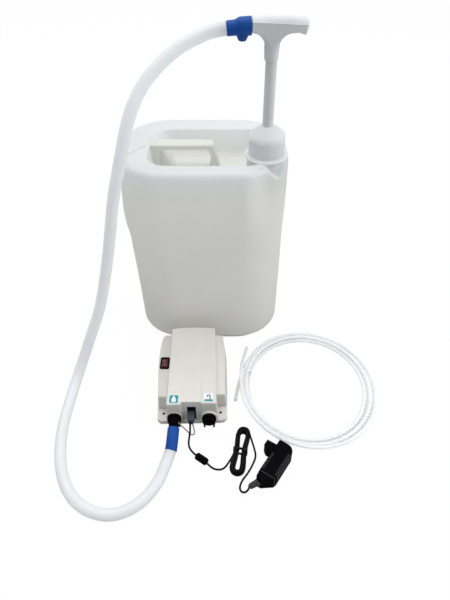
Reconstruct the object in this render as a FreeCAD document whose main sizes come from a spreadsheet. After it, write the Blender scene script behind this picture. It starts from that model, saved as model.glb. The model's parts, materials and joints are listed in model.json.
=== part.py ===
import FreeCAD, Part
import Sketcher
import math
import os

# Bottled-water pump kit: a water can with a lift-out suction wand in its cap, the hose, the
# electric pump box, the power lead with its wall adapter, and the coil of outlet tube.
# Millimetres, +Z up. Row origin: centre of the footprint, on the floor.
# The kit's places are counted from the middle of the can's front face on the floor, X to the
# right and Y to the back, and every piece is then moved by kit_x and kit_y.

doc = FreeCAD.newDocument("WaterPumpKit")

DRIVING = {
    # water can
    "can_width": 304.0, "can_depth": 240.0, "can_height": 394.0, "can_wall": 3.0,
    "can_corner": 84.0, "can_foot_round": 16.0, "can_foot_left": 7.0, "can_foot_right": 1.2,
    "can_taper_low": 120.0, "can_taper_high": 255.0, "can_rim_round": 12.0,
    "can_rim_band": 36.0, "can_rim_left": 51.0, "can_rim_back": 53.0,
    "can_recess_deep": 50.0, "can_recess_corner": 38.0, "can_seam": 8.0,
    "grip_back": 143.0, "grip_deep": 28.0, "grip_thick": 11.0, "grip_right": 15.0,
    "grip_slope": 18.0, "gap_left": 83.5, "gap_across": 95.0, "gap_slope": 6.0,
    "neck_from_side": 41.5, "neck_back": 75.0, "neck_radius": 27.5,
    "neck_bore": 23.5, "neck_rise": 27.0, "neck_boss": 34.0, "boss_drop": 10.0,
    "neck_clear": 42.0, "notch_half": 19.0, "notch_deep": 24.0, "notch_turn": -71.5,
    "facet_low": 245.0, "facet_lean": 5.0, "facet_turn": -55.0,
    # cap adapter and its seal
    "cap_radius": 31.2, "cap_flange": 39.0, "cap_flange_thick": 2.8,
    "cap_shoulder_up": 40.0, "cap_tall": 54.0, "cap_nose": 12.0,
    "seal_thick": 2.4, "turn_clear": 0.3,
    # suction wand
    "wand_radius": 9.2, "wand_bore": 7.2, "wand_above": 180.0, "slide_clear": 0.3,
    "foot_radius": 12.0, "foot_tall": 34.0, "foot_wall": 1.6, "foot_slot": 3.0,
    "foot_slots": 6.0, "float_radius": 15.5, "float_tall": 26.0, "float_travel": 12.0,
    "float_stop": 3.0, "tee_top_up": 42.5, "tee_under_up": 17.0, "tee_left": 32.5,
    "tee_right": 53.0, "tee_deep": 24.0, "tee_arc": 23.0, "tee_crown": 3.0, "tee_round": 6.0,
    "socket_radius": 11.6, "socket_over": 23.0, "water_bore": 6.0, "barb_radius": 7.5,
    "barb_long": 30.0, "sleeve_long": 38.0, "sleeve_thin": 10.6, "sleeve_fat": 12.7,
    "sleeve_up": 28.0, "sleeve_lump": 7.5, "sleeve_drop": 19.0,
    # pump box, with Y counted from its front face backwards
    "pump_across": -24.5, "pump_front": -218.5, "pump_foot": 3.0, "pump_foot_radius": 6.5,
    "feet_across": 40.0, "feet_front": 12.0, "feet_from_back": 34.0,
    "base_wide": 126.0, "base_long": 184.0, "base_thick": 9.0, "base_wall": 2.5,
    "base_front": 1.5, "tray_side": 2.0, "tray_back": 8.0, "post_in": 5.0, "post_radius": 3.0,
    "base_corner": 9.0, "flange_hole": 2.2, "flange_holes_apart": 106.0,
    "flange_hole_back": 17.0, "cover_wall": 2.5, "shoulder_wide": 124.0,
    "shoulder_front": 30.0, "shoulder_lip": 3.0, "shoulder_straight": 126.7, "room_lap": 18.1,
    "shoulder_top": 48.0, "shoulder_taper": 4.0, "deck_wide": 86.0,
    "deck_long": 190.0, "deck_bulge": 5.0, "deck_top": 62.0, "cover_round": 2.0,
    "lane_step": 5.0, "lane_inner": 17.5, "lane_long": 68.0, "lane_drop": 1.6,
    "slot_wide": 17.0, "slot_top": 46.0, "slot_deep": 11.0, "hood_out": 1.2,
    "hood_thick": 2.2, "bezel_wide": 17.0, "bezel_long": 27.0, "bezel_thick": 2.0,
    "bezel_skirt": 11.0, "bezel_across": 52.2, "bezel_back": 109.0, "rocker_wide": 10.6,
    "rocker_long": 20.0, "rocker_rise": 3.2, "rocker_pin": 1.2, "rocker_deep": 4.5,
    # ports and their clips
    "inlet_across": -31.5, "outlet_across": 31.5, "port_axis": 22.0, "port_radius": 7.6,
    "collar_radius": 9.0, "collar_out": 5.0, "port_bore": 4.8, "clip_thick": 2.8,
    "clip_outer": 12.4, "clip_low": 1.2, "inlet_nose": 24.5, "nose_radius": 8.6,
    "blue_radius": 10.6,
    # pump works
    "head_front": 20.0, "head_deep": 18.0, "head_wide": 80.0, "head_tall": 44.0,
    "works_axis": 32.0, "pocket_radius": 14.5, "valve_thick": 4.0, "diaphragm_thick": 3.0,
    "wobble_radius": 12.0, "wobble_thick": 5.0, "lower_deep": 16.0, "lower_radius": 17.0,
    "motor_radius": 17.5, "motor_long": 62.0, "motor_wall": 1.6, "shaft_radius": 1.6,
    "rotor_radius": 11.5, "rotor_long": 34.0, "bearing_radius": 4.5, "bearing_thick": 4.0,
    "run_clear": 0.05, "bracket_thick": 2.0, "bracket_wide": 44.0, "bracket_long": 40.0,
    "mount_radius": 4.5, "board_wide": 62.0, "board_long": 26.0, "board_thick": 1.6,
    "board_up": 10.0, "cut_out_wide": 18.0, "cut_out_tall": 7.0, "boss_radius": 4.0,
    "boss_bore": 1.45, "boss_tall": 18.0, "screw_long": 14.0, "screw_head": 3.0,
    "screw_head_tall": 2.0, "boss_apart": 102.0, "boss_front": 44.0, "boss_from_back": 14.0,
    "board_from_back": 18.0,
    # power plug and socket
    "plug_wide": 12.0, "plug_tall": 13.0, "plug_long": 27.5, "plug_low": 24.0,
    "plug_across": 0.5, "socket_wide": 15.0, "socket_tall": 16.0, "socket_deep": 5.0,
    # wall adapter, lying on its side
    "adapter_x": 94.6, "adapter_y": -328.3, "adapter_turn": 56.4, "adapter_long": 71.0,
    "adapter_tail": 13.0, "adapter_wide": 30.5, "adapter_tall": 30.0, "adapter_soft": 3.0,
    "adapter_wall": 2.5, "pins_from": 43.0, "pins_to": 60.5, "pins_out": 19.0, "relief_long": 15.0,
    "relief_thick": 4.8, "relief_thin": 3.0, "relief_axis": 14.0, "relief_side": -5.0,
    "relief_rings": 5.0,
    # cords
    "hose_radius": 10.0, "lead_radius": 1.75, "wire_radius": 1.2, "bead_radius": 6.5,
    "bead_long": 23.0, "bead_x": -12.4, "bead_y": -287.1, "bead_axis": 6.5, "bead_turn": -36.5,
    "tube_radius": 3.175, "coil_radius": 131.0, "coil_oval": 7.0,
    "coil_x": 199.0, "coil_y": -131.0,
    "hank_x": 64.5, "hank_y": -280.0, "hank_half_long": 47.0, "hank_waist": 9.6,
    "hank_bulge": 15.0, "hank_turn": 80.0, "hank_turns": 7.375, "turn_gap": 0.55,
    "tie_thick": 0.8, "tie_wide": 4.0, "coil_turns": 6.0, "coil_tie_angle": 163.0,
    "coil_pitch_left": 7.2, "coil_pitch_right": 14.0,
}


class Size(float):
    """A length that carries its number and the sheet formula that it comes from."""

    def __new__(cls, number, formula):
        made = float.__new__(cls, number)
        made.formula = formula
        return made

    def __add__(self, other):
        return Size(float(self) + float(other), f"({self.formula} + {formula_of(other)})")

    def __radd__(self, other):
        return Size(float(other) + float(self), f"({formula_of(other)} + {self.formula})")

    def __sub__(self, other):
        return Size(float(self) - float(other), f"({self.formula} - {formula_of(other)})")

    def __rsub__(self, other):
        return Size(float(other) - float(self), f"({formula_of(other)} - {self.formula})")

    def __mul__(self, other):
        return Size(float(self) * float(other), f"({self.formula} * {formula_of(other)})")

    __rmul__ = __mul__

    def __truediv__(self, other):
        return Size(float(self) / float(other), f"({self.formula} / {formula_of(other)})")

    def __neg__(self):
        return Size(-float(self), f"(0 - {self.formula})")


def formula_of(length):
    return length.formula if isinstance(length, Size) else f"{float(length):.6f}"


class Sheet:
    """The driving dimensions: each is one cell of the spreadsheet and one attribute here."""


def make_sheet():
    cells = doc.addObject("Spreadsheet::Sheet", "Sizes")
    sizes = Sheet()
    for row, (name, number) in enumerate(DRIVING.items(), start=1):
        cells.set(f"A{row}", name)
        cells.set(f"B{row}", str(number))
        cells.setAlias(f"B{row}", name)
        setattr(sizes, name, Size(number, f"Sizes.{name}"))
    doc.recompute()
    return sizes


s = make_sheet()
nodes = []

# Places that several pieces share

kit_x = (s.neck_from_side - s.tee_right) / 2
kit_y = (s.inlet_nose - s.pump_front - s.can_depth) / 2
can_at = (kit_x, kit_y, 0)
neck_across = s.can_width / 2 - s.neck_from_side
neck_at = (kit_x + neck_across, kit_y + s.neck_back, 0)
pump_at = (kit_x + s.pump_across, kit_y + s.pump_front, 0)
base_top = s.pump_foot + s.base_thick
recess_floor = s.can_height - s.can_recess_deep
boss_top = s.can_height - s.boss_drop
neck_top = s.can_height + s.neck_rise
wand_top = s.can_height + s.wand_above
tee_top = wand_top + s.tee_top_up
tee_under = wand_top + s.tee_under_up
socket_low = wand_top - s.socket_over
sleeve_axis = wand_top + s.sleeve_up


# Building helpers

def place(piece, at, turn=0.0):
    """Bind a piece's place, and its turn about Z, to the sheet."""
    for axis, length in zip("xyz", at):
        piece.setExpression(f"Placement.Base.{axis}", formula_of(length))
    if turn:
        piece.setExpression("Placement.Rotation.Axis.z", "1")
        piece.setExpression("Placement.Rotation.Angle", formula_of(turn) + " * 1 deg")


def new_body(label, at=(0, 0, 0), turn=0.0, many=False):
    body = doc.addObject("PartDesign::Body", label)
    body.Label = label
    if many:
        body.AllowCompound = True
    place(body, at, turn)
    nodes.append(body)
    return body


def new_sketch(body, plane, start):
    """A sketch on the body's own XY, XZ or YZ plane, moved along that axis by start."""
    sketch = body.newObject("Sketcher::SketchObject", "Sketch")
    origin = next(f for f in body.Origin.OriginFeatures if f.Role == plane + "_Plane")
    sketch.AttachmentSupport = [(origin, "")]
    sketch.MapMode = "FlatFace"
    outward = -1 if plane == "XZ" else 1
    sketch.setExpression("AttachmentOffset.Base.z", formula_of(start * outward))
    return sketch


def pin_point(sketch, index, point, place_xy):
    """Hold one point of the sketch at its two lengths from the sketch's origin."""
    for kind, length in zip(("DistanceX", "DistanceY"), place_xy):
        number = sketch.addConstraint(
            Sketcher.Constraint(kind, -1, 1, index, point, float(length)))
        if isinstance(length, Size):
            sketch.setExpression(f"Constraints[{number}]", formula_of(length))


def outline(body, plane, corners, start=0.0):
    """A closed outline of straight edges; a corner with a third entry is an arc's middle."""
    sketch = new_sketch(body, plane, start)
    flat = [FreeCAD.Vector(float(c[0]), float(c[1]), 0) for c in corners]
    stops = [i for i, c in enumerate(corners) if len(c) == 2]
    edges = []
    for here, there in zip(stops, stops[1:] + stops[:1]):
        middle = here + 1 if (here + 1) % len(corners) != there else None
        if middle is None:
            edge = Part.LineSegment(flat[here], flat[there])
            edges.append((sketch.addGeometry(edge, False), here, 1, 2))
            continue
        bend = (flat[middle] - flat[here]).cross(flat[there] - flat[middle]).z
        ends = (here, there) if bend > 0 else (there, here)
        arc = Part.Arc(flat[ends[0]], flat[middle], flat[ends[1]])
        index = sketch.addGeometry(arc, False)
        first, last = (1, 2) if bend > 0 else (2, 1)
        edges.append((index, here, first, last))
        point = sketch.addGeometry(Part.Point(flat[middle]), True)
        sketch.addConstraint(Sketcher.Constraint("PointOnObject", point, 1, index))
        pin_point(sketch, point, 1, corners[middle][:2])
    for (index, corner, first, last), (after, _, after_first, _) in zip(
            edges, edges[1:] + edges[:1]):
        sketch.addConstraint(Sketcher.Constraint("Coincident", index, last, after, after_first))
    for index, corner, first, last in edges:
        pin_point(sketch, index, first, corners[corner])
    return sketch


def rings(body, plane, centres, radius, start=0.0):
    """Circles of one radius about several centres, in one sketch."""
    sketch = new_sketch(body, plane, start)
    for x, y in centres:
        middle = FreeCAD.Vector(float(x), float(y), 0)
        circle = Part.Circle(middle, FreeCAD.Vector(0, 0, 1), float(radius))
        index = sketch.addGeometry(circle, False)
        number = sketch.addConstraint(Sketcher.Constraint("Radius", index, float(radius)))
        if isinstance(radius, Size):
            sketch.setExpression(f"Constraints[{number}]", formula_of(radius))
        pin_point(sketch, index, 3, (x, y))
    return sketch


def feature(body, kind, sketch, length=None, back=False, axis=None):
    """A pad, pocket, revolution or groove of a sketch, with its length bound to the sheet."""
    made = body.newObject("PartDesign::" + kind, kind)
    made.Profile = sketch
    if axis:
        made.ReferenceAxis = (sketch, [axis])
        made.Angle = 360.0
    else:
        if isinstance(length, Size):
            made.setExpression("Length", formula_of(length))
        else:
            made.Length = float(length)
        made.Reversed = back
    sketch.Visibility = False
    return made


def box_outline(left, right, low, high):
    return [(left, low), (right, low), (right, high), (left, high)]


def pad(body, plane, corners, start, length, back=False):
    return feature(body, "Pad", outline(body, plane, corners, start), length, back)


def pocket(body, plane, corners, start, length, back=False):
    """Cut along the plane's axis from start; back turns it round."""
    return feature(body, "Pocket", outline(body, plane, corners, start), length, back)


def turned(body, profile, plane="XZ", axis="V_Axis"):
    return feature(body, "Revolution", outline(body, plane, profile), axis=axis)


def grooved(body, profile, plane="XZ", axis="V_Axis"):
    return feature(body, "Groove", outline(body, plane, profile), axis=axis)


def rounded(body, radius, wanted, kind="Fillet"):
    """Round or bevel the edges of the body's last feature that the test picks out."""
    doc.recompute()
    before = body.Tip
    names = [f"Edge{i}" for i, edge in enumerate(before.Shape.Edges, 1) if wanted(edge)]
    made = body.newObject("PartDesign::" + kind, kind)
    made.Base = (before, names)
    made.setExpression("Radius" if kind == "Fillet" else "Size", formula_of(radius))
    return made


def upright(edge):
    """True for a straight edge along Z."""
    if edge.Curve.TypeId != "Part::GeomLine":
        return False
    return abs(edge.tangentAt(edge.FirstParameter).z) > 0.999


def all_at(edge, axis, place_on_axis):
    """True where the whole edge lies at one place on an axis."""
    box = edge.BoundBox
    low, high = getattr(box, axis + "Min"), getattr(box, axis + "Max")
    return abs(low - place_on_axis) < 0.01 and abs(high - place_on_axis) < 0.01


def add_shape(label, shape, at=(0, 0, 0)):
    """A sub-part whose shape is worked out here from the sheet."""
    piece = doc.addObject("Part::Feature", label)
    piece.Label = label
    piece.Shape = shape
    place(piece, at)
    nodes.append(piece)
    return piece


# Water can: blow-moulded, with a raised rim, a moulded grip in the recess and a neck

def rounded_wire(left, right, front, back, corner, height):
    edges = []
    far = corner * math.sqrt(0.5)
    middles = [(right - corner, front + corner, 1, -1), (right - corner, back - corner, 1, 1),
               (left + corner, back - corner, -1, 1), (left + corner, front + corner, -1, -1)]
    arcs = []
    for x, y, side_x, side_y in middles:
        along_x = FreeCAD.Vector(x + side_x * corner, y, height)
        along_y = FreeCAD.Vector(x, y + side_y * corner, height)
        first, last = (along_y, along_x) if side_x * side_y < 0 else (along_x, along_y)
        middle = FreeCAD.Vector(x + side_x * far, y + side_y * far, height)
        arcs.append((first, middle, last))
    for arc, following in zip(arcs, arcs[1:] + arcs[:1]):
        edges.append(Part.Arc(*arc).toShape())
        edges.append(Part.LineSegment(arc[2], following[0]).toShape())
    return Part.Wire(edges)


def can_skin(shrink):
    """The can's outside drawn in by shrink all over, as a ruled stack of sections."""
    half, deep, top = s.can_width / 2, s.can_depth, s.can_height - shrink
    stack = []
    for angle in (20, 45, 70, 90):
        lean = math.radians(angle)
        drawn_in = s.can_foot_round * (1 - math.sin(lean))
        stack.append((s.can_foot_round * (1 - math.cos(lean)), drawn_in, 1.0))
    stack[0] = (shrink, stack[0][1], 1.0)
    stack += [(s.can_taper_low, 0.0, 1.0), (s.can_taper_high, 0.0, 0.0)]
    for angle in (90, 55, 20):
        lean = math.radians(angle)
        drawn_in = s.can_rim_round * (1 - math.sin(lean))
        stack.append((top - s.can_rim_round * (1 - math.cos(lean)), drawn_in, 0.0))
    stack.append((top, s.can_rim_round, 0.0))
    wires = []
    for height, drawn_in, narrow in stack:
        inset = drawn_in + shrink
        wires.append(rounded_wire(-half + inset + narrow * s.can_foot_left,
                                  half - inset - narrow * s.can_foot_right,
                                  inset, deep - inset, s.can_corner - shrink, height))
    return Part.makeLoft(wires, True, True)


def upright_cylinder(radius, low, high, x, y):
    return Part.makeCylinder(radius, high - low, FreeCAD.Vector(x, y, low))


def corner_facet(grow):
    """What the leaning flat takes off the corner in front of the neck."""
    size = s.can_width
    turn, lean = math.radians(s.facet_turn), math.radians(s.facet_lean)
    block = Part.makeBox(size, size, 2 * size, FreeCAD.Vector(0, -size / 2, -size))
    block.rotate(FreeCAD.Vector(), FreeCAD.Vector(0, 1, 0), -s.facet_lean)
    block.rotate(FreeCAD.Vector(), FreeCAD.Vector(0, 0, 1), s.facet_turn)
    reach = s.can_corner - grow / math.cos(lean)
    x = s.can_width / 2 - s.can_corner + reach * math.cos(turn)
    y = s.can_corner + reach * math.sin(turn)
    block.translate(FreeCAD.Vector(x, y, s.facet_low))
    return block


def rim_notch(grow):
    """The V that dips the rim's corner, running outwards from the neck's boss."""
    widen = grow / math.cos(math.atan2(s.notch_deep, s.notch_half))
    rise = s.notch_deep / s.notch_half
    above = 10.0
    half = s.notch_half + widen + above / rise
    low = s.can_height - s.notch_deep - widen * rise
    near = s.neck_boss - grow
    corners = [FreeCAD.Vector(near, 0, low), FreeCAD.Vector(near, half, s.can_height + above),
               FreeCAD.Vector(near, -half, s.can_height + above)]
    prism = Part.Face(Part.makePolygon(corners + corners[:1])).extrude(
        FreeCAD.Vector(s.can_width / 2, 0, 0))
    prism.rotate(FreeCAD.Vector(), FreeCAD.Vector(0, 0, 1), s.notch_turn)
    prism.translate(FreeCAD.Vector(neck_across, s.neck_back, 0))
    return prism


def recess_space(grow):
    """The hand's room in the can's top, grown by grow all over."""
    half = s.can_width / 2
    wire = rounded_wire(-half + s.can_rim_left - grow, half - s.can_rim_band + grow,
                        s.can_rim_band - grow, s.can_depth - s.can_rim_back + grow,
                        s.can_recess_corner + grow, recess_floor - grow)
    return Part.Face(wire).extrude(FreeCAD.Vector(0, 0, s.can_height))


def grip_solid():
    """The moulded grip: an arch along X over the finger gap, from the rim to the floor."""
    low, top = float(recess_floor), s.can_height - 1
    under, middle = top - s.grip_thick, (recess_floor + top) / 2
    right, rim = s.grip_right, s.can_rim_left - s.can_width / 2
    outer = [(rim - 1, low), (rim - 1, top), (right, top), (right + s.grip_slope, low)]
    gap_left, gap_right = -s.gap_left, s.gap_across - s.gap_left
    gap = [(gap_left + s.gap_slope, low - 1), (gap_left, middle), (gap_left + s.gap_slope, under),
           (gap_right - s.gap_slope, under), (gap_right, middle), (gap_right - s.gap_slope, low - 1)]
    faces = []
    for outline_xz in (outer, gap):
        corners = [FreeCAD.Vector(x, s.grip_back - s.grip_deep, z) for x, z in outline_xz]
        faces.append(Part.Face(Part.makePolygon(corners + corners[:1])))
    arch = faces[0].cut(faces[1]).extrude(FreeCAD.Vector(0, s.grip_deep, 0))
    return arch.common(recess_space(0.0))


def make_can():
    wall = s.can_wall
    high = s.can_height + wall
    seam = recess_floor - s.can_seam
    neck = (neck_across, s.neck_back)

    def moulding(grow):
        """The can's outside, or with the wall as grow the space in it."""
        solid = can_skin(grow).cut(recess_space(grow))
        solid = solid.cut(upright_cylinder(s.neck_clear + grow, boss_top - grow, high, *neck))
        return solid.cut(rim_notch(grow)).cut(corner_facet(grow))

    shell = moulding(0.0).cut(moulding(wall))
    size = 2 * s.can_width
    upper = Part.makeBox(size, size, size, FreeCAD.Vector(-s.can_width, -s.can_width, seam))
    add_shape("jerrycan", shell.cut(upper).removeSplitter(), can_at)
    top = shell.common(upper).cut(upright_cylinder(s.neck_boss, seam - wall, high, *neck))
    add_shape("can_top", top.removeSplitter(), can_at)
    add_shape("can_grip", grip_solid().removeSplitter(), can_at)
    spout = new_body("can_neck", neck_at)
    turned(spout, [(s.neck_bore, recess_floor - wall), (s.neck_boss, recess_floor - wall),
                   (s.neck_boss, boss_top), (s.neck_radius, boss_top),
                   (s.neck_radius, neck_top), (s.neck_bore, neck_top)])


# Cap adapter over the neck, with its seal

cap_ceiling = neck_top + s.seal_thick + 0.1
cap_bore = s.wand_radius + s.slide_clear


def make_cap():
    cap = new_body("cap_adapter", neck_at)
    inside = s.neck_radius + s.turn_clear
    low = s.can_height
    flange_top = low + s.cap_flange_thick
    cone_low, cone_top = low + s.cap_shoulder_up, low + s.cap_tall
    turned(cap, [(inside, low), (s.cap_flange, low), (s.cap_flange, flange_top),
                 (s.cap_radius, flange_top), (s.cap_radius, cone_low),
                 (s.cap_nose, cone_top), (cap_bore, cone_top),
                 (cap_bore, cap_ceiling), (inside, cap_ceiling)])
    seal = new_body("cap_seal", neck_at)
    turned(seal, [(s.neck_bore - 2, neck_top + 0.1), (s.neck_radius, neck_top + 0.1),
                  (s.neck_radius, cap_ceiling), (s.neck_bore - 2, cap_ceiling)])


# Suction wand: foot with float, tube and T grip

foot_low = s.can_wall + s.slide_clear
foot_top = foot_low + s.foot_tall
float_low = foot_top + s.slide_clear


def make_wand():
    tube = new_body("wand_tube", neck_at)
    seat = foot_top - 10
    turned(tube, [(s.wand_bore, seat), (s.wand_radius, seat), (s.wand_radius, wand_top),
                  (s.wand_bore, wand_top)])
    foot = new_body("wand_foot", neck_at)
    fit = s.wand_radius + s.run_clear
    chamber = s.wand_bore
    turned(foot, [(0, foot_low), (s.foot_radius, foot_low), (s.foot_radius, foot_top),
                  (fit, foot_top), (fit, seat), (chamber, seat),
                  (chamber, foot_low + s.foot_wall), (0, foot_low + s.foot_wall)])
    slot = pocket(foot, "XZ", box_outline(-s.foot_slot / 2, s.foot_slot / 2,
                                          foot_low + s.foot_wall * 2, seat - s.foot_wall),
                  0.0, s.foot_radius + 1)
    slots = foot.newObject("PartDesign::PolarPattern", "Slots")
    slots.Originals = [slot]
    slots.Axis = (next(f for f in foot.Origin.OriginFeatures if f.Role == "Z_Axis"), [""])
    slots.Angle = 360.0
    slots.setExpression("Occurrences", formula_of(s.foot_slots))
    foot.Tip = slots

    ball = new_body("wand_float", neck_at)
    turned(ball, [(cap_bore, float_low), (s.float_radius, float_low),
                  (s.float_radius, float_low + s.float_tall),
                  (cap_bore, float_low + s.float_tall)])
    rounded(ball, s.float_stop, lambda edge: edge.Length > 6 * s.float_radius)
    stop_low = float_low + s.float_tall + s.float_travel + s.slide_clear
    stop = new_body("float_stop", neck_at)
    turned(stop, [(fit, stop_low), (s.foot_radius, stop_low),
                  (s.foot_radius, stop_low + s.float_stop), (fit, stop_low + s.float_stop)])


def make_grip():
    """The T grip: a crowned bar that sweeps into the socket, with its hose barb."""
    grip = new_body("wand_grip", neck_at)
    left, right, under, top = s.tee_left, s.tee_right, tee_under, tee_top
    stem, sweep, shoulder = s.socket_radius - 0.4, s.tee_arc, top - s.tee_crown
    low = under - sweep - 8
    short = left - stem
    inward, short_inward = sweep * (1 - math.sqrt(0.5)), short * (1 - math.sqrt(0.5))
    end = (shoulder - under) / 2
    pad(grip, "XZ", [
        (-left, shoulder), (-left, under), (-stem - short_inward, under - short_inward, short),
        (-stem, under - short), (-stem, low), (stem, low), (stem, under - sweep),
        (stem + inward, under - inward, sweep), (stem + sweep, under), (right - end, under),
        (right, under + end, 0), (right - end, shoulder), ((right - end - left) / 2, top, 0)],
        s.tee_deep / 2, s.tee_deep)
    rounded(grip, s.tee_round,
            lambda edge: all_at(edge, "Y", s.tee_deep / 2) or all_at(edge, "Y", -s.tee_deep / 2),
            "Chamfer")
    turned(grip, [(0, socket_low), (s.socket_radius - 1, socket_low),
                  (s.socket_radius, socket_low + 1.5), (s.socket_radius, low + 12),
                  (0, low + 12)])
    barb = rings(grip, "YZ", [(0, sleeve_axis)], s.barb_radius, -left)
    feature(grip, "Pad", barb, s.barb_long, back=True)
    bore = rings(grip, "YZ", [(0, sleeve_axis)], s.water_bore - 0.8, -left - s.barb_long)
    feature(grip, "Pocket", bore, left + s.barb_long, back=True)
    fit = s.wand_radius + s.run_clear
    grooved(grip, [(0, socket_low - 1), (fit, socket_low - 1), (fit, wand_top),
                   (s.water_bore, wand_top), (s.water_bore, sleeve_axis + 4),
                   (0, sleeve_axis + 4)])
    hollow = s.tee_deep / 2 - 3
    pocket(grip, "XY", box_outline(stem + sweep / 2, right - 4, -hollow, hollow),
           under - 8, 22, back=True)


def make_upper_sleeve():
    sleeve_at = (neck_at[0] - s.tee_left, neck_at[1], sleeve_axis)
    sleeve = new_body("upper_sleeve", sleeve_at)
    bore, thin, fat = s.barb_radius + 0.1, s.sleeve_thin, s.sleeve_fat
    turned(sleeve, [(-s.sleeve_long, bore), (-s.sleeve_long, thin), (-21, thin), (-14, fat),
                    (0, fat), (0, bore)], axis="H_Axis")
    lump = rings(sleeve, "XY", [(-16, 0)], s.sleeve_lump, -s.sleeve_drop)
    feature(sleeve, "Pad", lump, s.sleeve_drop - bore - 1)
    rounded(sleeve, s.cover_round, lambda edge: all_at(edge, "Z", -s.sleeve_drop))


# Pump box: base, cover, feet and screws

boss_back = s.base_long - s.boss_from_back


def corners_of(across, front, back):
    return [(side * across, y) for y in (front, back) for side in (-1, 1)]


def make_base():
    base = new_body("pump_base", pump_at)
    half, front = s.base_wide / 2, s.base_front
    pad(base, "XY", box_outline(-half, half, front, s.base_long), s.pump_foot, s.base_thick)
    rounded(base, s.base_corner, upright, "Chamfer")
    floor = s.pump_foot + s.base_wall
    tray = s.head_wide / 2 + s.tray_side
    pocket(base, "XY", box_outline(-tray, tray, s.head_front - 1, s.base_long - s.tray_back),
           base_top, s.base_thick - s.base_wall)
    posts = rings(base, "XY", corners_of(s.board_wide / 2 - s.post_in, board_front + s.post_in,
                                         board_front + s.board_long - s.post_in),
                  s.post_radius, floor)
    feature(base, "Pad", posts, s.board_up)
    holes = rings(base, "XY", [(-s.flange_holes_apart / 2, s.flange_hole_back),
                               (s.flange_holes_apart / 2, s.flange_hole_back)],
                  s.flange_hole, base_top)
    feature(base, "Pocket", holes, s.base_thick + 1)
    screws = corners_of(s.boss_apart / 2, s.boss_front, boss_back)
    feature(base, "Pocket", rings(base, "XY", screws, s.boss_bore + 0.2, base_top),
            s.base_thick + 1)
    feature(base, "Pocket", rings(base, "XY", screws, s.screw_head + 0.3, s.pump_foot),
            s.screw_head_tall + 0.3, back=True)

    feet = new_body("pump_feet", pump_at, many=True)
    feet_at = corners_of(s.feet_across, s.feet_front, s.base_long - s.feet_from_back)
    feature(feet, "Pad", rings(feet, "XY", feet_at, s.pump_foot_radius), s.pump_foot)

    screw_body = new_body("cover_screws", pump_at, many=True)
    head_low = s.pump_foot + 0.3
    feature(screw_body, "Pad", rings(screw_body, "XY", screws, s.screw_head, head_low),
            s.screw_head_tall)
    feature(screw_body, "Pad", rings(screw_body, "XY", screws, s.boss_bore - 0.05, head_low),
            s.screw_long)


board_front = s.base_long - s.board_long - s.board_from_back
bezel_at = (pump_at[0] - s.bezel_across, pump_at[1] + s.bezel_back, s.shoulder_top)
rocker_half = s.rocker_wide / 2 + 0.2
switch_hole = (rocker_half + 1.2, s.rocker_long / 2 + 1.7)


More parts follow.
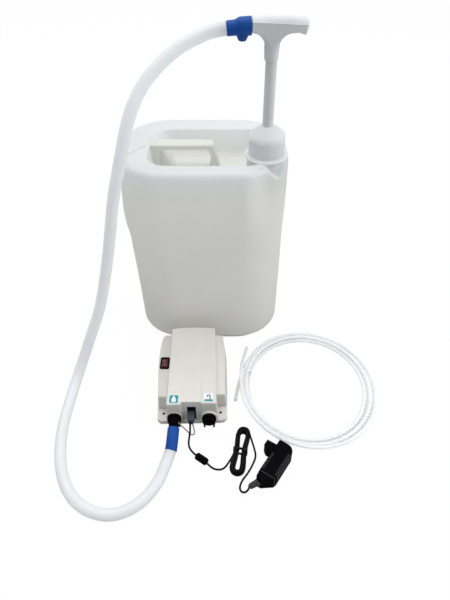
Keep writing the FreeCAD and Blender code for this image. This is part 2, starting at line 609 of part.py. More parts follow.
def make_cover():
    """The cover: a long deck between two lower shoulders, hollow from below."""
    cover = new_body("pump_cover", pump_at)
    half, shoulder = s.deck_wide / 2, s.shoulder_wide / 2
    wall, lane, step = s.cover_wall, s.lane_inner, s.lane_step
    side_back = s.deck_long - s.deck_bulge
    bulge = (half * half + s.deck_bulge * s.deck_bulge) / (2 * s.deck_bulge)
    pad(cover, "XY", [(-half, 0), (-lane, 0), (-lane, step), (lane, step), (lane, 0),
                      (half, 0), (half, side_back), (0, s.deck_long, bulge),
                      (-half, side_back)], base_top, s.deck_top - base_top)
    rounded(cover, s.cover_round, lambda edge: all_at(edge, "Z", s.deck_top))
    back, taper = s.base_long - s.shoulder_lip, s.shoulder_taper
    pad(cover, "XY", [(-shoulder, s.shoulder_front), (shoulder, s.shoulder_front),
                      (shoulder, s.shoulder_straight), (shoulder - taper, back),
                      (-shoulder + taper, back), (-shoulder, s.shoulder_straight)],
        base_top, s.shoulder_top - base_top)
    rounded(cover, s.cover_round,
            lambda edge: all_at(edge, "Z", s.shoulder_top) and abs(edge.CenterOfMass.x) > half + 1)
    for start in (half + 1, -lane):
        pocket(cover, "YZ", [(-1, s.deck_top + 1), (-1, s.deck_top - s.lane_drop),
                             (s.lane_long, s.deck_top + 0.01), (s.lane_long, s.deck_top + 1)],
               start, half + 1 - lane)
    hollow_up = s.deck_top - s.lane_drop - wall - base_top
    rooms = [(-half + wall, half - wall, step + wall, side_back - wall, hollow_up),
             (-half + wall, -lane - wall, wall, step + wall + 1, hollow_up),
             (lane + wall, half - wall, wall, step + wall + 1, hollow_up),
             (-shoulder + wall, shoulder - wall, s.shoulder_front + wall, s.shoulder_straight,
              s.shoulder_top - wall - base_top),
             (-shoulder + taper + wall, shoulder - taper - wall,
              s.shoulder_straight - s.room_lap, back - wall,
              s.shoulder_top - wall - base_top)]
    for left, right, low, high, up in rooms:
        pocket(cover, "XY", box_outline(left, right, low, high), base_top, up, back=True)
    slot, across = s.slot_wide / 2, s.plug_across
    slot_back = step + s.slot_deep
    pad(cover, "XY", box_outline(across - slot - wall, across + slot + wall, step + 1,
                                 slot_back + wall), base_top, s.slot_top + wall - base_top)
    pocket(cover, "XY", box_outline(across - slot, across + slot, step - 3, slot_back),
           base_top, s.slot_top - base_top, back=True)
    for port in (s.inlet_across, s.outlet_across):
        hole = rings(cover, "XZ", [(port, s.port_axis)], s.port_radius + 0.3, -1)
        feature(cover, "Pocket", hole, wall + 3)
        near, far = s.clip_outer + 0.6, s.clip_outer + 0.6 + s.hood_thick
        half_near, half_far = near * 0.5, far * 0.5
        up_near, up_far = near * math.sqrt(0.75), far * math.sqrt(0.75)
        pad(cover, "XZ", [(port - half_far, s.port_axis + up_far),
                          (port, s.port_axis + far, far),
                          (port + half_far, s.port_axis + up_far),
                          (port + half_near, s.port_axis + up_near),
                          (port, s.port_axis + near, near),
                          (port - half_near, s.port_axis + up_near)],
            0.0, s.hood_out)
    hole_x, hole_y = switch_hole[0] + 0.2, switch_hole[1] + 0.2
    pocket(cover, "XY", box_outline(-s.bezel_across - hole_x, -s.bezel_across + hole_x,
                                    s.bezel_back - hole_y, s.bezel_back + hole_y),
           s.shoulder_top + 1, wall + 2)
    screws = corners_of(s.boss_apart / 2, s.boss_front, boss_back)
    feature(cover, "Pad", rings(cover, "XY", screws, s.boss_radius, base_top),
            s.shoulder_top - wall / 2 - base_top)
    feature(cover, "Pocket", rings(cover, "XY", screws, s.boss_bore, base_top),
            s.boss_tall, back=True)


def make_switch():
    bezel = new_body("switch_bezel", bezel_at)
    half_x, half_y = s.bezel_wide / 2, s.bezel_long / 2
    hole_y = s.rocker_long / 2 + 0.7
    pad(bezel, "XY", box_outline(-half_x, half_x, -half_y, half_y), 0.0, s.bezel_thick)
    rounded(bezel, s.bezel_thick, upright)
    pad(bezel, "XY", box_outline(-switch_hole[0], switch_hole[0], -switch_hole[1],
                                 switch_hole[1]), 0.0, s.bezel_skirt, back=True)
    pocket(bezel, "XY", box_outline(-rocker_half, rocker_half, -hole_y, hole_y),
           s.bezel_thick, s.bezel_thick + s.bezel_skirt - 1.5)
    pin = rings(bezel, "YZ", [(0, -2)], s.rocker_pin + s.run_clear, switch_hole[0] + 1)
    feature(bezel, "Pocket", pin, 2 * switch_hole[0] + 2)

    rocker = new_body("switch_rocker", bezel_at)
    half, deep = s.rocker_long / 2 - 0.8, s.rocker_deep
    pad(rocker, "YZ", [(-half, s.rocker_rise), (-half, -0.5), (-half / 2, -deep),
                       (half / 2, -deep), (half, -1.5), (half, 0.4), (0, 0.6)],
        -s.rocker_wide / 2, s.rocker_wide)
    pins = rings(rocker, "YZ", [(0, -2)], s.rocker_pin, -rocker_half - 0.8)
    feature(rocker, "Pad", pins, 2 * rocker_half + 1.6)


# Ports, clips, plug and socket

def port_place(across):
    return (pump_at[0] + across, pump_at[1], s.port_axis)


def make_ports():
    root, neck = s.head_front, -1.5
    out = -s.collar_out
    tube, collar, bore = s.port_radius, s.collar_radius, s.port_bore
    inlet = new_body("inlet_port", port_place(s.inlet_across))
    turned(inlet, [(root, bore), (root, tube), (neck, tube), (neck, collar), (out, collar),
                   (out, s.nose_radius), (-s.inlet_nose, s.nose_radius),
                   (-s.inlet_nose, bore)], "YZ", "H_Axis")
    outlet = new_body("outlet_port", port_place(s.outlet_across))
    push_fit = s.tube_radius + 0.075
    turned(outlet, [(root, push_fit), (root, tube), (neck, tube), (neck, collar),
                    (out, collar), (out, bore + 1.5), (out + 1.5, bore + 1.5),
                    (out + 1.5, push_fit)], "YZ", "H_Axis")
    low = s.clip_low - s.port_axis
    near, far = collar + s.slide_clear, s.clip_outer
    for label, across in (("inlet_clip", s.inlet_across), ("outlet_clip", s.outlet_across)):
        clip = new_body(label, port_place(across))
        front = neck - 0.3
        feature(clip, "Pad", rings(clip, "XZ", [(0, 0)], far, front), s.clip_thick)
        pad(clip, "XZ", box_outline(-far, far, low, 0.0), front, s.clip_thick)
        feature(clip, "Pocket", rings(clip, "XZ", [(0, 0)], near, front - s.clip_thick),
                s.clip_thick)
        pocket(clip, "XZ", box_outline(-near, near, low - 1, 0.0), front - s.clip_thick,
               s.clip_thick)


def make_plug():
    across = s.plug_across
    socket_back = s.lane_step + s.slot_deep
    socket_front = socket_back - s.socket_deep
    middle = s.plug_low + s.plug_tall / 2
    socket = new_body("power_socket", pump_at)
    pad(socket, "XY", box_outline(across - s.socket_wide / 2, across + s.socket_wide / 2,
                                  socket_front, socket_back),
        middle - s.socket_tall / 2, s.socket_tall)
    plug = new_body("power_plug", pump_at)
    half = s.plug_wide / 2
    pad(plug, "XY", [(across - half, socket_front), (across + half, socket_front),
                     (across + half, socket_front - s.plug_long * 0.75),
                     (across + half - 2.5, socket_front - s.plug_long),
                     (across - half + 2.5, socket_front - s.plug_long),
                     (across - half, socket_front - s.plug_long * 0.75)],
        s.plug_low, s.plug_tall)
    rounded(plug, s.cover_round / 2, lambda edge: all_at(edge, "Z", s.plug_low + s.plug_tall))


# Pump works: head, valve plate, diaphragm, wobble drive and motor, along one axis

works_at = (pump_at[0], pump_at[1], s.works_axis)
works_floor = s.pump_foot + s.base_wall
head_back = s.head_front + s.head_deep
pocket_deep = s.head_deep - 6
valve_front = head_back - pocket_deep
diaphragm_front = valve_front + s.valve_thick
wobble_front = diaphragm_front + s.diaphragm_thick + 0.8
housing_back = head_back + s.lower_deep
motor_back = housing_back + s.motor_long


def ring_along(body, inner, outer, front, back):
    return turned(body, [(front, inner), (front, outer), (back, outer), (back, inner)],
                  "YZ", "H_Axis")


def make_works():
    head = new_body("pump_head", pump_at)
    pad(head, "XY", box_outline(-s.head_wide / 2, s.head_wide / 2, s.head_front, head_back),
        works_floor, s.head_tall)
    chamber = rings(head, "XZ", [(0, s.works_axis)], s.pocket_radius, head_back)
    feature(head, "Pocket", chamber, pocket_deep, back=True)
    valve = new_body("valve_plate", works_at)
    ring_along(valve, 0, s.pocket_radius - 0.1, valve_front, diaphragm_front)
    cups = rings(valve, "XZ", [(6.5 * math.sin(a), 6.5 * math.cos(a))
                               for a in (0.0, 2.0944, 4.1888)], 3.2, diaphragm_front)
    feature(valve, "Pocket", cups, s.valve_thick / 2, back=True)
    skin = new_body("diaphragm", works_at)
    ring_along(skin, 0, s.pocket_radius - 0.1, diaphragm_front,
               diaphragm_front + s.diaphragm_thick)
    plate = new_body("wobble_plate", works_at)
    wobble_back = wobble_front + s.wobble_thick - 1
    turned(plate, [(wobble_front, 0), (wobble_front, s.wobble_radius),
                   (wobble_back, s.wobble_radius), (wobble_back, 4), (wobble_back - 1, 4),
                   (wobble_back - 1, 0)], "YZ", "H_Axis")
    housing = new_body("drive_housing", works_at)
    rim, outer = s.pocket_radius + 0.2, s.lower_radius
    seat = s.bearing_radius + 0.05
    turned(housing, [(head_back, rim), (head_back, outer), (housing_back, outer),
                     (housing_back, seat), (housing_back - s.bearing_thick, seat),
                     (housing_back - s.bearing_thick, rim)], "YZ", "H_Axis")
    front_bearing = new_body("front_bearing", works_at)
    hole = s.shaft_radius + s.run_clear
    ring_along(front_bearing, hole, s.bearing_radius, housing_back - s.bearing_thick,
               housing_back)
    rear_bearing = new_body("rear_bearing", works_at)
    ring_along(rear_bearing, hole, s.bearing_radius, motor_back - s.bearing_thick, motor_back)
    can = new_body("motor_can", works_at)
    inner = s.motor_radius - s.motor_wall
    turned(can, [(housing_back, 3), (housing_back, s.motor_radius),
                 (motor_back, s.motor_radius), (motor_back, seat),
                 (motor_back - s.bearing_thick, seat), (motor_back - s.bearing_thick, inner),
                 (housing_back + s.motor_wall, inner), (housing_back + s.motor_wall, 3)],
           "YZ", "H_Axis")
    rotor_front = housing_back + 12
    rotor_back = rotor_front + s.rotor_long
    magnets = new_body("motor_magnets", works_at)
    ring_along(magnets, s.rotor_radius + 1, inner - 0.05, rotor_front - 2, rotor_back + 2)
    rotor = new_body("motor_rotor", works_at)
    cam_front = wobble_back + 0.6
    shaft, core = s.shaft_radius, s.rotor_radius
    turned(rotor, [(cam_front, 0), (cam_front, shaft), (rotor_front, shaft),
                   (rotor_front, core), (rotor_back, core), (rotor_back, shaft),
                   (rotor_back + 3, shaft), (rotor_back + 3, 5), (rotor_back + 9, 5),
                   (rotor_back + 9, shaft), (motor_back + 2, shaft), (motor_back + 2, 0)],
           "YZ", "H_Axis")
    cam = new_body("drive_cam", works_at)
    feature(cam, "Pad", rings(cam, "XZ", [(0, 1)], 6, cam_front), 5, back=True)
    feature(cam, "Pocket", rings(cam, "XZ", [(0, 0)], shaft, cam_front - 1), 8)


def make_fittings():
    bracket = new_body("motor_bracket", pump_at)
    top = s.works_axis - s.motor_radius - 0.2
    half = s.bracket_wide / 2
    front = housing_back + 10
    pad(bracket, "XY", box_outline(-half, half, front, front + s.bracket_long),
        top - s.bracket_thick, s.bracket_thick)
    grip = s.motor_radius + 0.2
    for left, right in ((-grip - 2, -grip), (grip, grip + 2)):
        pad(bracket, "XY", box_outline(left, right, front, front + s.bracket_long),
            top - 1, s.motor_radius)
    mounts = new_body("rubber_mounts", pump_at, many=True)
    mounts_at = corners_of(half - 5, front + 5, front + s.bracket_long - 5)
    feature(mounts, "Pad", rings(mounts, "XY", mounts_at, s.mount_radius, works_floor),
            top - s.bracket_thick - works_floor)
    board = new_body("control_board", pump_at)
    pad(board, "XY", box_outline(-s.board_wide / 2, s.board_wide / 2, board_front,
                                 board_front + s.board_long),
        works_floor + s.board_up, s.board_thick)
    pad(board, "XY", box_outline(-20, -8, board_front + 6, board_front + 18),
        works_floor + s.board_up + s.board_thick, 9)
    cut_out = new_body("pressure_switch", pump_at)
    head_top = works_floor + s.head_tall
    pad(cut_out, "XY", box_outline(-s.cut_out_wide / 2, s.cut_out_wide / 2,
                                   s.head_front + 3, head_back - 3),
        head_top, s.cut_out_tall)


# Wall adapter, lying on its side, with the relief of its lead

adapter_at = (kit_x + s.adapter_x, kit_y + s.adapter_y, 0)


def make_adapter():
    long, wide, tall, tail = s.adapter_long, s.adapter_wide, s.adapter_tall, s.adapter_tail
    turn = s.adapter_turn
    soft = 15
    inward = soft * (1 - math.sqrt(0.5))
    case = new_body("adapter_case", adapter_at, turn)
    pad(case, "XY", [(0, 0), (long, 0), (long, soft - wide),
                     (long - inward, inward - wide, 0), (long - soft, -wide),
                     (5, -wide), (0, 2.5 - wide)], 0.0, tall)
    rounded(case, s.adapter_soft,
            lambda edge: edge.BoundBox.XMin > 0.5 and (all_at(edge, "Z", 0) or
                                                       all_at(edge, "Z", tall)))
    wall = s.adapter_wall
    pocket(case, "YZ", box_outline(4 + wall - wide, -wall, wall, tall - wall), 0.0,
           long - soft - wall, back=True)
    board = new_body("adapter_board", adapter_at, turn)
    room = long - soft - wall - 1
    pad(board, "XY", box_outline(2, room, 4.5 + wall - wide, -wall - 0.5), wall,
        s.board_thick)
    wound = new_body("adapter_transformer", adapter_at, turn)
    pad(wound, "XY", box_outline(18, 40, 7 - wide, -7), wall + s.board_thick, 17)
    end = new_body("adapter_end", adapter_at, turn)
    pad(end, "XY", [(0, 0), (0, 2.5 - wide), (-4, 8 - wide), (-tail, -11), (-tail, -3),
                    (2 - tail, -1)], 0.0, tall)
    pins = new_body("adapter_plug_head", adapter_at, turn)
    pad(pins, "XY", [(s.pins_from, 0), (s.pins_to, 0), (s.pins_to, s.pins_out),
                     (s.pins_from + 6, s.pins_out), (s.pins_from, s.pins_out - 7)],
        4, tall - 8)


def carried(at, turn, x, y):
    """The place of a point of a piece that stands at one place, turned about Z."""
    angle = math.radians(turn)
    cosine = Size(math.cos(angle), f"cos({turn.formula} * 1 deg)")
    sine = Size(math.sin(angle), f"sin({turn.formula} * 1 deg)")
    return at[0] + x * cosine - y * sine, at[1] + x * sine + y * cosine


relief_turn = s.adapter_turn + 154
relief_at = carried(adapter_at, s.adapter_turn, -s.adapter_tail,
                    s.relief_side) + (s.relief_axis,)


def make_relief():
    """A ribbed, tapered sleeve: rings that shrink towards its tip."""
    relief = new_body("lead_relief", relief_at, relief_turn)
    profile = [(-1.5, 0), (-1.5, s.relief_thick)]
    rings_wanted = int(s.relief_rings)
    pitch = s.relief_long / rings_wanted
    for i in range(rings_wanted):
        radius = s.relief_thick - (s.relief_thick - s.relief_thin) * (i / rings_wanted)
        profile += [(pitch * i + pitch * 0.6, radius), (pitch * i + pitch * 0.6, radius - 1),
                    (pitch * (i + 1), radius - 1)]
        if i < rings_wanted - 1:
            profile.append((pitch * (i + 1), radius - 0.3))
    profile.append((s.relief_long, 0))
    turned(relief, profile, axis="H_Axis")


# Cords: straight runs joined by tangent arcs, and wound lengths as arcs through a formula

def kit_point(x, y, z):
    return FreeCAD.Vector(kit_x + x, kit_y + y, z)


def run_edges(points, thick):
    """Straight runs along the points, joined by arcs that touch both runs."""
    edges, here, tightest = [], points[0], 1e9
    for before, corner, after in zip(points, points[1:], points[2:]):
        into, out = corner - before, after - corner
        half = into.getAngle(out) / 2
        reach = 0.45 * min(into.Length, out.Length)
        radius = reach / math.tan(half)
        tightest = min(tightest, radius)
        into.normalize()
        out.normalize()
        first, last = corner - into * reach, corner + out * reach
        inward = out - into
        inward.normalize()
        middle = corner + inward * (radius / math.cos(half) - radius)
        edges.append(Part.LineSegment(here, first).toShape())
        edges.append(Part.Arc(first, middle, last).toShape())
        here = last
    edges.append(Part.LineSegment(here, points[-1]).toShape())
    print(f"  tightest bend {tightest:.1f} mm, {tightest / thick:.1f} thicknesses")
    return edges


def two_arcs(start, heading, end, arriving):
    """Two arcs that leave one point along a heading and arrive at another along theirs."""
    gap = end - start
    spread = 2 * (heading.dot(arriving) - 1)
    across = gap.dot(heading + arriving)
    if abs(spread) < 1e-9:
        reach = gap.dot(gap) / (2 * across)
    else:
        reach = (across - math.sqrt(across ** 2 - spread * gap.dot(gap))) / spread
    meet = (start + heading * reach + end - arriving * reach) / 2
    edges = []
    for near, far, way in ((start, meet, heading), (meet, end, -arriving)):
        origin, chord = (near, far - near) if way is heading else (far, near - far)
        side = chord - way * chord.dot(way)
        if side.Length < 1e-4:
            edges.append(Part.LineSegment(near, far).toShape())
            continue
        side.normalize()
        radius = chord.dot(chord) / (2 * chord.dot(side))
        centre = origin + side * radius
        bulge = (near + far) / 2 - centre
        bulge.normalize()
        edges.append(Part.Arc(near, centre + bulge * radius, far).toShape())
    return edges


def wound(place_of, turns, steps):
    """Arcs through a wound curve, with the way it heads at its start and at its end."""
    count = int(round(turns * steps))
    nodes_on = []
    for i in range(count + 1):
        t = turns * i / count
        way = place_of(t + 1e-4) - place_of(t - 1e-4)
        way.normalize()
        nodes_on.append((place_of(t), way))
    edges = []
    for (start, heading), (end, arriving) in zip(nodes_on, nodes_on[1:]):
        edges += two_arcs(start, heading, end, arriving)
    return edges, nodes_on[0], nodes_on[-1]


def zigzag(t, half_run):
    """Loops inwards and the layer at t turns: each run ends in a half turn that climbs."""
    span = half_run + 0.5
    layer = max(0, math.floor(t / span))
    within = t - layer * span
    inward = within if layer % 2 == 0 else half_run - within
    climb = 0.0
    if within > half_run:
        over = within - half_run
        bend = over - 2 * over * over
        inward = half_run + bend if layer % 2 == 0 else -bend
        part = over / 0.5
        climb = part * part * (3 - 2 * part)
    return inward, layer + climb


def least_gap(edges, thick):
    """The smallest gap between turns, measured on points along the centre line."""
    step = thick / 2
    points = []
    for edge in edges:
        points += edge.discretize(max(3, int(edge.Length / step) + 1))[:-1]
    skip = int(4 * thick / step)
    least = 1e9
    cells = {}
    for i, p in enumerate(points):
        key = (int(p.x // (2 * thick)), int(p.y // (2 * thick)))
        for dx in (-1, 0, 1):
            for dy in (-1, 0, 1):
                for j in cells.get((key[0] + dx, key[1] + dy), ()):
                    if i - j > skip:
                        least = min(least, p.distanceToPoint(points[j]))
        cells.setdefault(key, []).append(i)
    return least - thick


def cord(label, edges, radius):
    """One unbroken tube along the edges, in the kit's places."""
    path = Part.Wire(edges)
    first = edges[0]
    start = first.valueAt(first.FirstParameter)
    heading = first.tangentAt(first.FirstParameter)
    ring = Part.Wire(Part.makeCircle(float(radius), start, heading))
    tube = path.makePipeShell([ring], True, False)
    expected = math.pi * float(radius) ** 2 * path.Length
    print(f"{label}: length {path.Length:.1f} mm, volume {tube.Volume / expected:.4f} "
          f"of length by section, least gap {least_gap(edges, 2 * radius):.2f} mm")
    return add_shape(label, tube)


def make_hose():
    print("water_hose")
    sleeve_end = neck_across - s.tee_left - s.sleeve_long - s.slide_clear
    points = [kit_point(*p) for p in [
        (sleeve_end, s.neck_back, sleeve_axis), (22, 75, 602), (0, 73, 596), (-40, 60, 577),
        (-88, 30, 535), (-112, 0, 493), (-130, -20, 430), (-150, -30, 365),
        (-167, -50, 271), (-194, -70, 165), (-216, -85, 110), (-236, -100, 62),
        (-252, -128, 25), (-259, -172, 11), (-260, -225, 10), (-253, -280, 10),
        (-238, -328, 10), (-214, -366, 10), (-184, -388, 10), (-151, -397, 10),
        (-123, -391, 10), (-98, -375, 10), (-78, -348, 10), (-67, -318, 10),
        (-58, -281, 11)]]
    cord("water_hose", run_edges(points, 2 * s.hose_radius), s.hose_radius)


def make_lower_sleeve():
    print("lower_sleeve")
    points = [kit_point(*p) for p in [
        (s.pump_across + s.inlet_across, s.pump_front - s.inlet_nose, s.port_axis),
        (-56, -257, 21), (-57, -271, 15), (-58, -281, 11)]]
    cord("lower_sleeve", run_edges(points, 2 * s.blue_radius), s.blue_radius)


def make_float_wire():
    print("float_wire")
    front = s.pump_front + s.lane_step + s.slot_deep - s.socket_deep - s.plug_long
    points = [kit_point(*p) for p in [
        (-48, -230, 21), (-41, -236, 15), (-32, -242, 6), (-24, -246, 4), (-20, -249, 10),
        (-20.5, -246, 19), (-21, -241, 25), (-21, front, 27.5)]]
    cord("float_wire", run_edges(points, 2 * s.wire_radius), s.wire_radius)


def hank_place(t):
    """A figure drawn in at its waist, starting there and going up its left side."""
    k, layer = zigzag(t, 1.5)
    pitch = 2 * s.lead_radius + s.turn_gap
    turn = math.radians(s.hank_turn)

    def base(angle):
        across = (s.hank_waist + s.hank_bulge * math.cos(angle) ** 2) * math.sin(angle)
        return across, s.hank_half_long * math.cos(angle)

    angle = math.radians(360 * t - 90)
    (x, y), (x2, y2) = base(angle), base(angle + 1e-5)
    run = math.hypot(x2 - x, y2 - y)
    x, y = x - k * pitch * -(y2 - y) / run, y - k * pitch * (x2 - x) / run
    return kit_point(s.hank_x + x * math.sin(turn) + y * math.cos(turn),
                     s.hank_y - x * math.cos(turn) + y * math.sin(turn),
                     s.tie_thick + s.lead_radius + layer * pitch)


def joined(edges_before, point, way):
    """The arcs that carry a finished run on to a point and heading."""
    last = edges_before[-1]
    end = last.valueAt(last.LastParameter)
    heading = last.tangentAt(last.LastParameter)
    return two_arcs(end, heading, point, way)


def make_lead():
    print("power_lead")
    front = s.pump_front + s.lane_step + s.slot_deep - s.socket_deep - s.plug_long
    before = [kit_point(*p) for p in [
        (-25, front, 29), (-25, -242, 27.5), (-25, -249, 20), (-27, -254, 9),
        (-28, -262, 2.5), (-25, -271, 1.75), (-19, -280, 4), (-10, -289, 6.5),
        (0, -296.4, 6.5), (8, -302.5, 4), (15, -308.5, 1.75), (24, -312, 1.75),
        (33, -311, 1.75), (40, -305, 1.75)]]
    edges = run_edges(before, 2 * s.lead_radius)
    loops, (start, heading), (end, leaving) = wound(hank_place, s.hank_turns, 8)
    edges += joined(edges, start, heading) + loops
    after = [kit_point(*p) for p in [
        (91, -276, 3), (91.5, -288, 1.75), (86, -301, 1.75), (80.5, -312, 1.75),
        (74, -322, 1.75), (67, -331, 1.75), (63, -340, 1.75), (62, -349, 4),
        (66, -357, 8), (74, -357.5, 12)]]
    tip_x, tip_y = carried(relief_at, relief_turn, s.relief_long, 0)
    tip = FreeCAD.Vector(tip_x, tip_y, s.relief_axis)
    edges_after = run_edges(after + [tip], 2 * s.lead_radius)
    first = edges_after[0]
    edges += two_arcs(end, leaving, after[0], first.tangentAt(first.FirstParameter))
    cord("power_lead", edges + edges_after, s.lead_radius)


def make_bead():
    """The choke bead on the lead, along the lead's straight run through it."""
    bead = new_body("choke_bead", (kit_x + s.bead_x, kit_y + s.bead_y, s.bead_axis),
                    s.bead_turn)
    long = s.bead_long
    turned(bead, [(0, s.lead_radius), (0, s.bead_radius - 1.5), (1.5, s.bead_radius),
                  (long - 1.5, s.bead_radius), (long, s.bead_radius - 1.5),
                  (long, s.lead_radius)], axis="H_Axis")


def coil_place(t):
    """Loops of tube lying flat, closed up at the tied left side and spread at the right."""
    k, layer = zigzag(t, 3.0)
    angle = math.radians(168.8 - 360 * t)
    spread = (1 + math.cos(angle)) / 2
    pitch = s.coil_pitch_left + (s.coil_pitch_right - s.coil_pitch_left) * spread
    inset = k * pitch
    lift = 2 * s.tube_radius + s.turn_gap
    return kit_point(s.coil_x + (s.coil_radius - inset) * math.cos(angle),
                     s.coil_y + (s.coil_radius + s.coil_oval - inset) * math.sin(angle),
                     s.tie_thick + s.tube_radius + layer * lift)


def make_coil():
    print("outlet_tube")
    loops, (start, heading), (end, leaving) = wound(coil_place, s.coil_turns, 8)
    tail = start - heading * 60
    edges = [Part.LineSegment(tail, start).toShape()] + loops
    out = end + leaving * 33
    down = FreeCAD.Vector(out.x + leaving.x * 42, out.y + leaving.y * 42, s.tube_radius)
    flat = FreeCAD.Vector(leaving.x, leaving.y, 0)
    flat.normalize()
    edges.append(Part.LineSegment(end, out).toShape())
    edges += two_arcs(out, leaving, down, flat)
    edges.append(Part.LineSegment(down, down + flat * 4).toShape())
    cord("outlet_tube", edges, s.tube_radius)


def make_tie(label, at, turn, half, high):
    """A band round a bundle, closed under it, with its twisted end on top."""
    tie = new_body(label, at, turn)
    thick, wide = s.tie_thick, s.tie_wide
    top = thick + high
    pad(tie, "XZ", box_outline(-half - thick, half + thick, 0.0, top + thick), wide / 2, wide)
    pocket(tie, "XZ", box_outline(-half, half, thick, top), -wide, wide * 2)
    pad(tie, "XY", box_outline(-wide, wide, -0.9, 0.9), top + thick, 2.5)


def make_ties():
    pitch = s.coil_pitch_left
    angle = math.radians(s.coil_tie_angle)
    middle = s.coil_radius - pitch * 1.5
    coil_at = (kit_x + s.coil_x + middle * math.cos(angle),
               kit_y + s.coil_y + (middle + s.coil_oval) * math.sin(angle), 0)
    lift = 2 * s.tube_radius + s.turn_gap
    make_tie("coil_tie", coil_at, s.coil_tie_angle - 180, pitch * 1.55 + s.tube_radius + 0.5,
             lift + 2 * s.tube_radius + 0.2)
    lift = 2 * s.lead_radius + s.turn_gap
    make_tie("lead_tie", (kit_x + s.hank_x, kit_y + s.hank_y, 0), s.hank_turn - 90,
             s.hank_waist + s.lead_radius + 0.5, lift * 3 + 2 * s.lead_radius + 0.2)


make_can()
make_cap()
make_wand()
make_grip()
make_upper_sleeve()
make_base()
make_cover()
make_switch()
make_ports()
make_plug()
make_works()
make_fittings()
make_adapter()
make_relief()
make_bead()
make_hose()
make_lower_sleeve()
make_float_wire()
make_lead()
make_coil()
make_ties()

doc.recompute()

faults = []
for item in doc.Objects:
    if "Invalid" in item.State or "Error" in item.State:
        faults.append(f"{item.Label}: {item.State}")
for node in nodes:
    if node.Shape.isNull() or not node.Shape.isValid():
        faults.append(f"{node.Label}: not a valid solid")
if faults:
    raise RuntimeError("; ".join(faults))

os.makedirs("parts", exist_ok=True)
for node in nodes:
    box = node.Shape.BoundBox
    print(f"{node.Label}: {box.XLength:.1f} x {box.YLength:.1f} x {box.ZLength:.1f} mm, "
          f"{node.Shape.Volume / 1000:.2f} cm3, {len(node.Shape.Solids)} solids")
    node.Shape.exportStep(os.path.join("parts", node.Label + ".step"))
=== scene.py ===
import json
import math
import bmesh
import bpy
import numpy as np
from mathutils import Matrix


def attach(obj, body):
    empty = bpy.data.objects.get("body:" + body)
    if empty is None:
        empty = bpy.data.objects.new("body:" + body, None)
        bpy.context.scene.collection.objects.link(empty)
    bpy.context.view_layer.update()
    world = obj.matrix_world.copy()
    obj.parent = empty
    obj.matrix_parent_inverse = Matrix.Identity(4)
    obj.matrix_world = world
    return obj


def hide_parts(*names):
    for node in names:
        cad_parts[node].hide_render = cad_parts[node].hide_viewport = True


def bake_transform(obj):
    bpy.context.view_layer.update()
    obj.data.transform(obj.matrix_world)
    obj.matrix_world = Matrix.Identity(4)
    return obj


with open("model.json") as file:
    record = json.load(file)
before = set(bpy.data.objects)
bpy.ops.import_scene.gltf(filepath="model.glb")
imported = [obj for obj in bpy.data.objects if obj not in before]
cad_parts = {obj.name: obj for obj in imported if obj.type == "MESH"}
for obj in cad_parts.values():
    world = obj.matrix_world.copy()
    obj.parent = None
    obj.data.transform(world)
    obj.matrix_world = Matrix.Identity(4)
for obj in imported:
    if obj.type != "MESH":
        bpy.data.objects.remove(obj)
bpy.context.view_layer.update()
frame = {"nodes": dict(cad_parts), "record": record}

# Water pump kit: can, suction wand, hose, pump box, lead with wall adapter, coil of tube.
# Sizes below are millimetres, counted from the middle of the can's front face on the floor.

kitShift = np.array([-5.75, 1.5, 0])


def place(points):
    # kit millimetres to metres in the row frame
    return (np.asarray(points, dtype=float) + kitShift) / 1000


# mesh tools

def meshPiece(name, grid, faces):
    # a smooth mesh of kit points, with doubles merged and faces turned outwards
    mesh = bpy.data.meshes.new(name)
    mesh.from_pydata(place(grid).reshape(-1, 3).tolist(), [], faces)
    work = bmesh.new()
    work.from_mesh(mesh)
    bmesh.ops.remove_doubles(work, verts=work.verts, dist=1e-6)
    bmesh.ops.dissolve_degenerate(work, edges=work.edges, dist=1e-7)
    bmesh.ops.recalc_face_normals(work, faces=work.faces)
    work.to_mesh(mesh)
    work.free()
    mesh.shade_smooth()
    return linked(name, mesh)


def linked(name, data):
    piece = bpy.data.objects.new(name, data)
    bpy.context.collection.objects.link(piece)
    return piece


def pointNumbers(grid):
    return np.arange(grid.shape[0] * grid.shape[1]).reshape(grid.shape[:2])


def gridFaces(index):
    # four-sided faces between neighbouring rows and columns of point numbers
    return np.stack([index[:-1, :-1], index[1:, :-1], index[1:, 1:], index[:-1, 1:]],
                    axis=-1).reshape(-1, 4).tolist()


def gridMesh(name, grid, loopU=False, loopV=False):
    # a surface from a grid of points, joined last to first where it loops
    index = pointNumbers(grid)
    if loopU:
        index = np.concatenate([index, index[:1]])
    if loopV:
        index = np.concatenate([index, index[:, :1]], axis=1)
    return meshPiece(name, grid, gridFaces(index))


def cappedMesh(name, grid):
    # closed rows of points, with one many-sided face at each end
    index = pointNumbers(grid)
    sides = gridFaces(np.concatenate([index, index[:, :1]], axis=1))
    return meshPiece(name, grid, sides + [index[0].tolist(), index[-1].tolist()])


def atLevel(line, level):
    # a flat line of (x, y) points lifted to one level
    return np.column_stack([line, np.full(len(line), level)])


def sampled(line, at, where):
    # the points at given distances on a line, whose own points lie at the distances in where
    return np.stack([np.interp(at, where, line[:, k]) for k in range(line.shape[1])], axis=1)


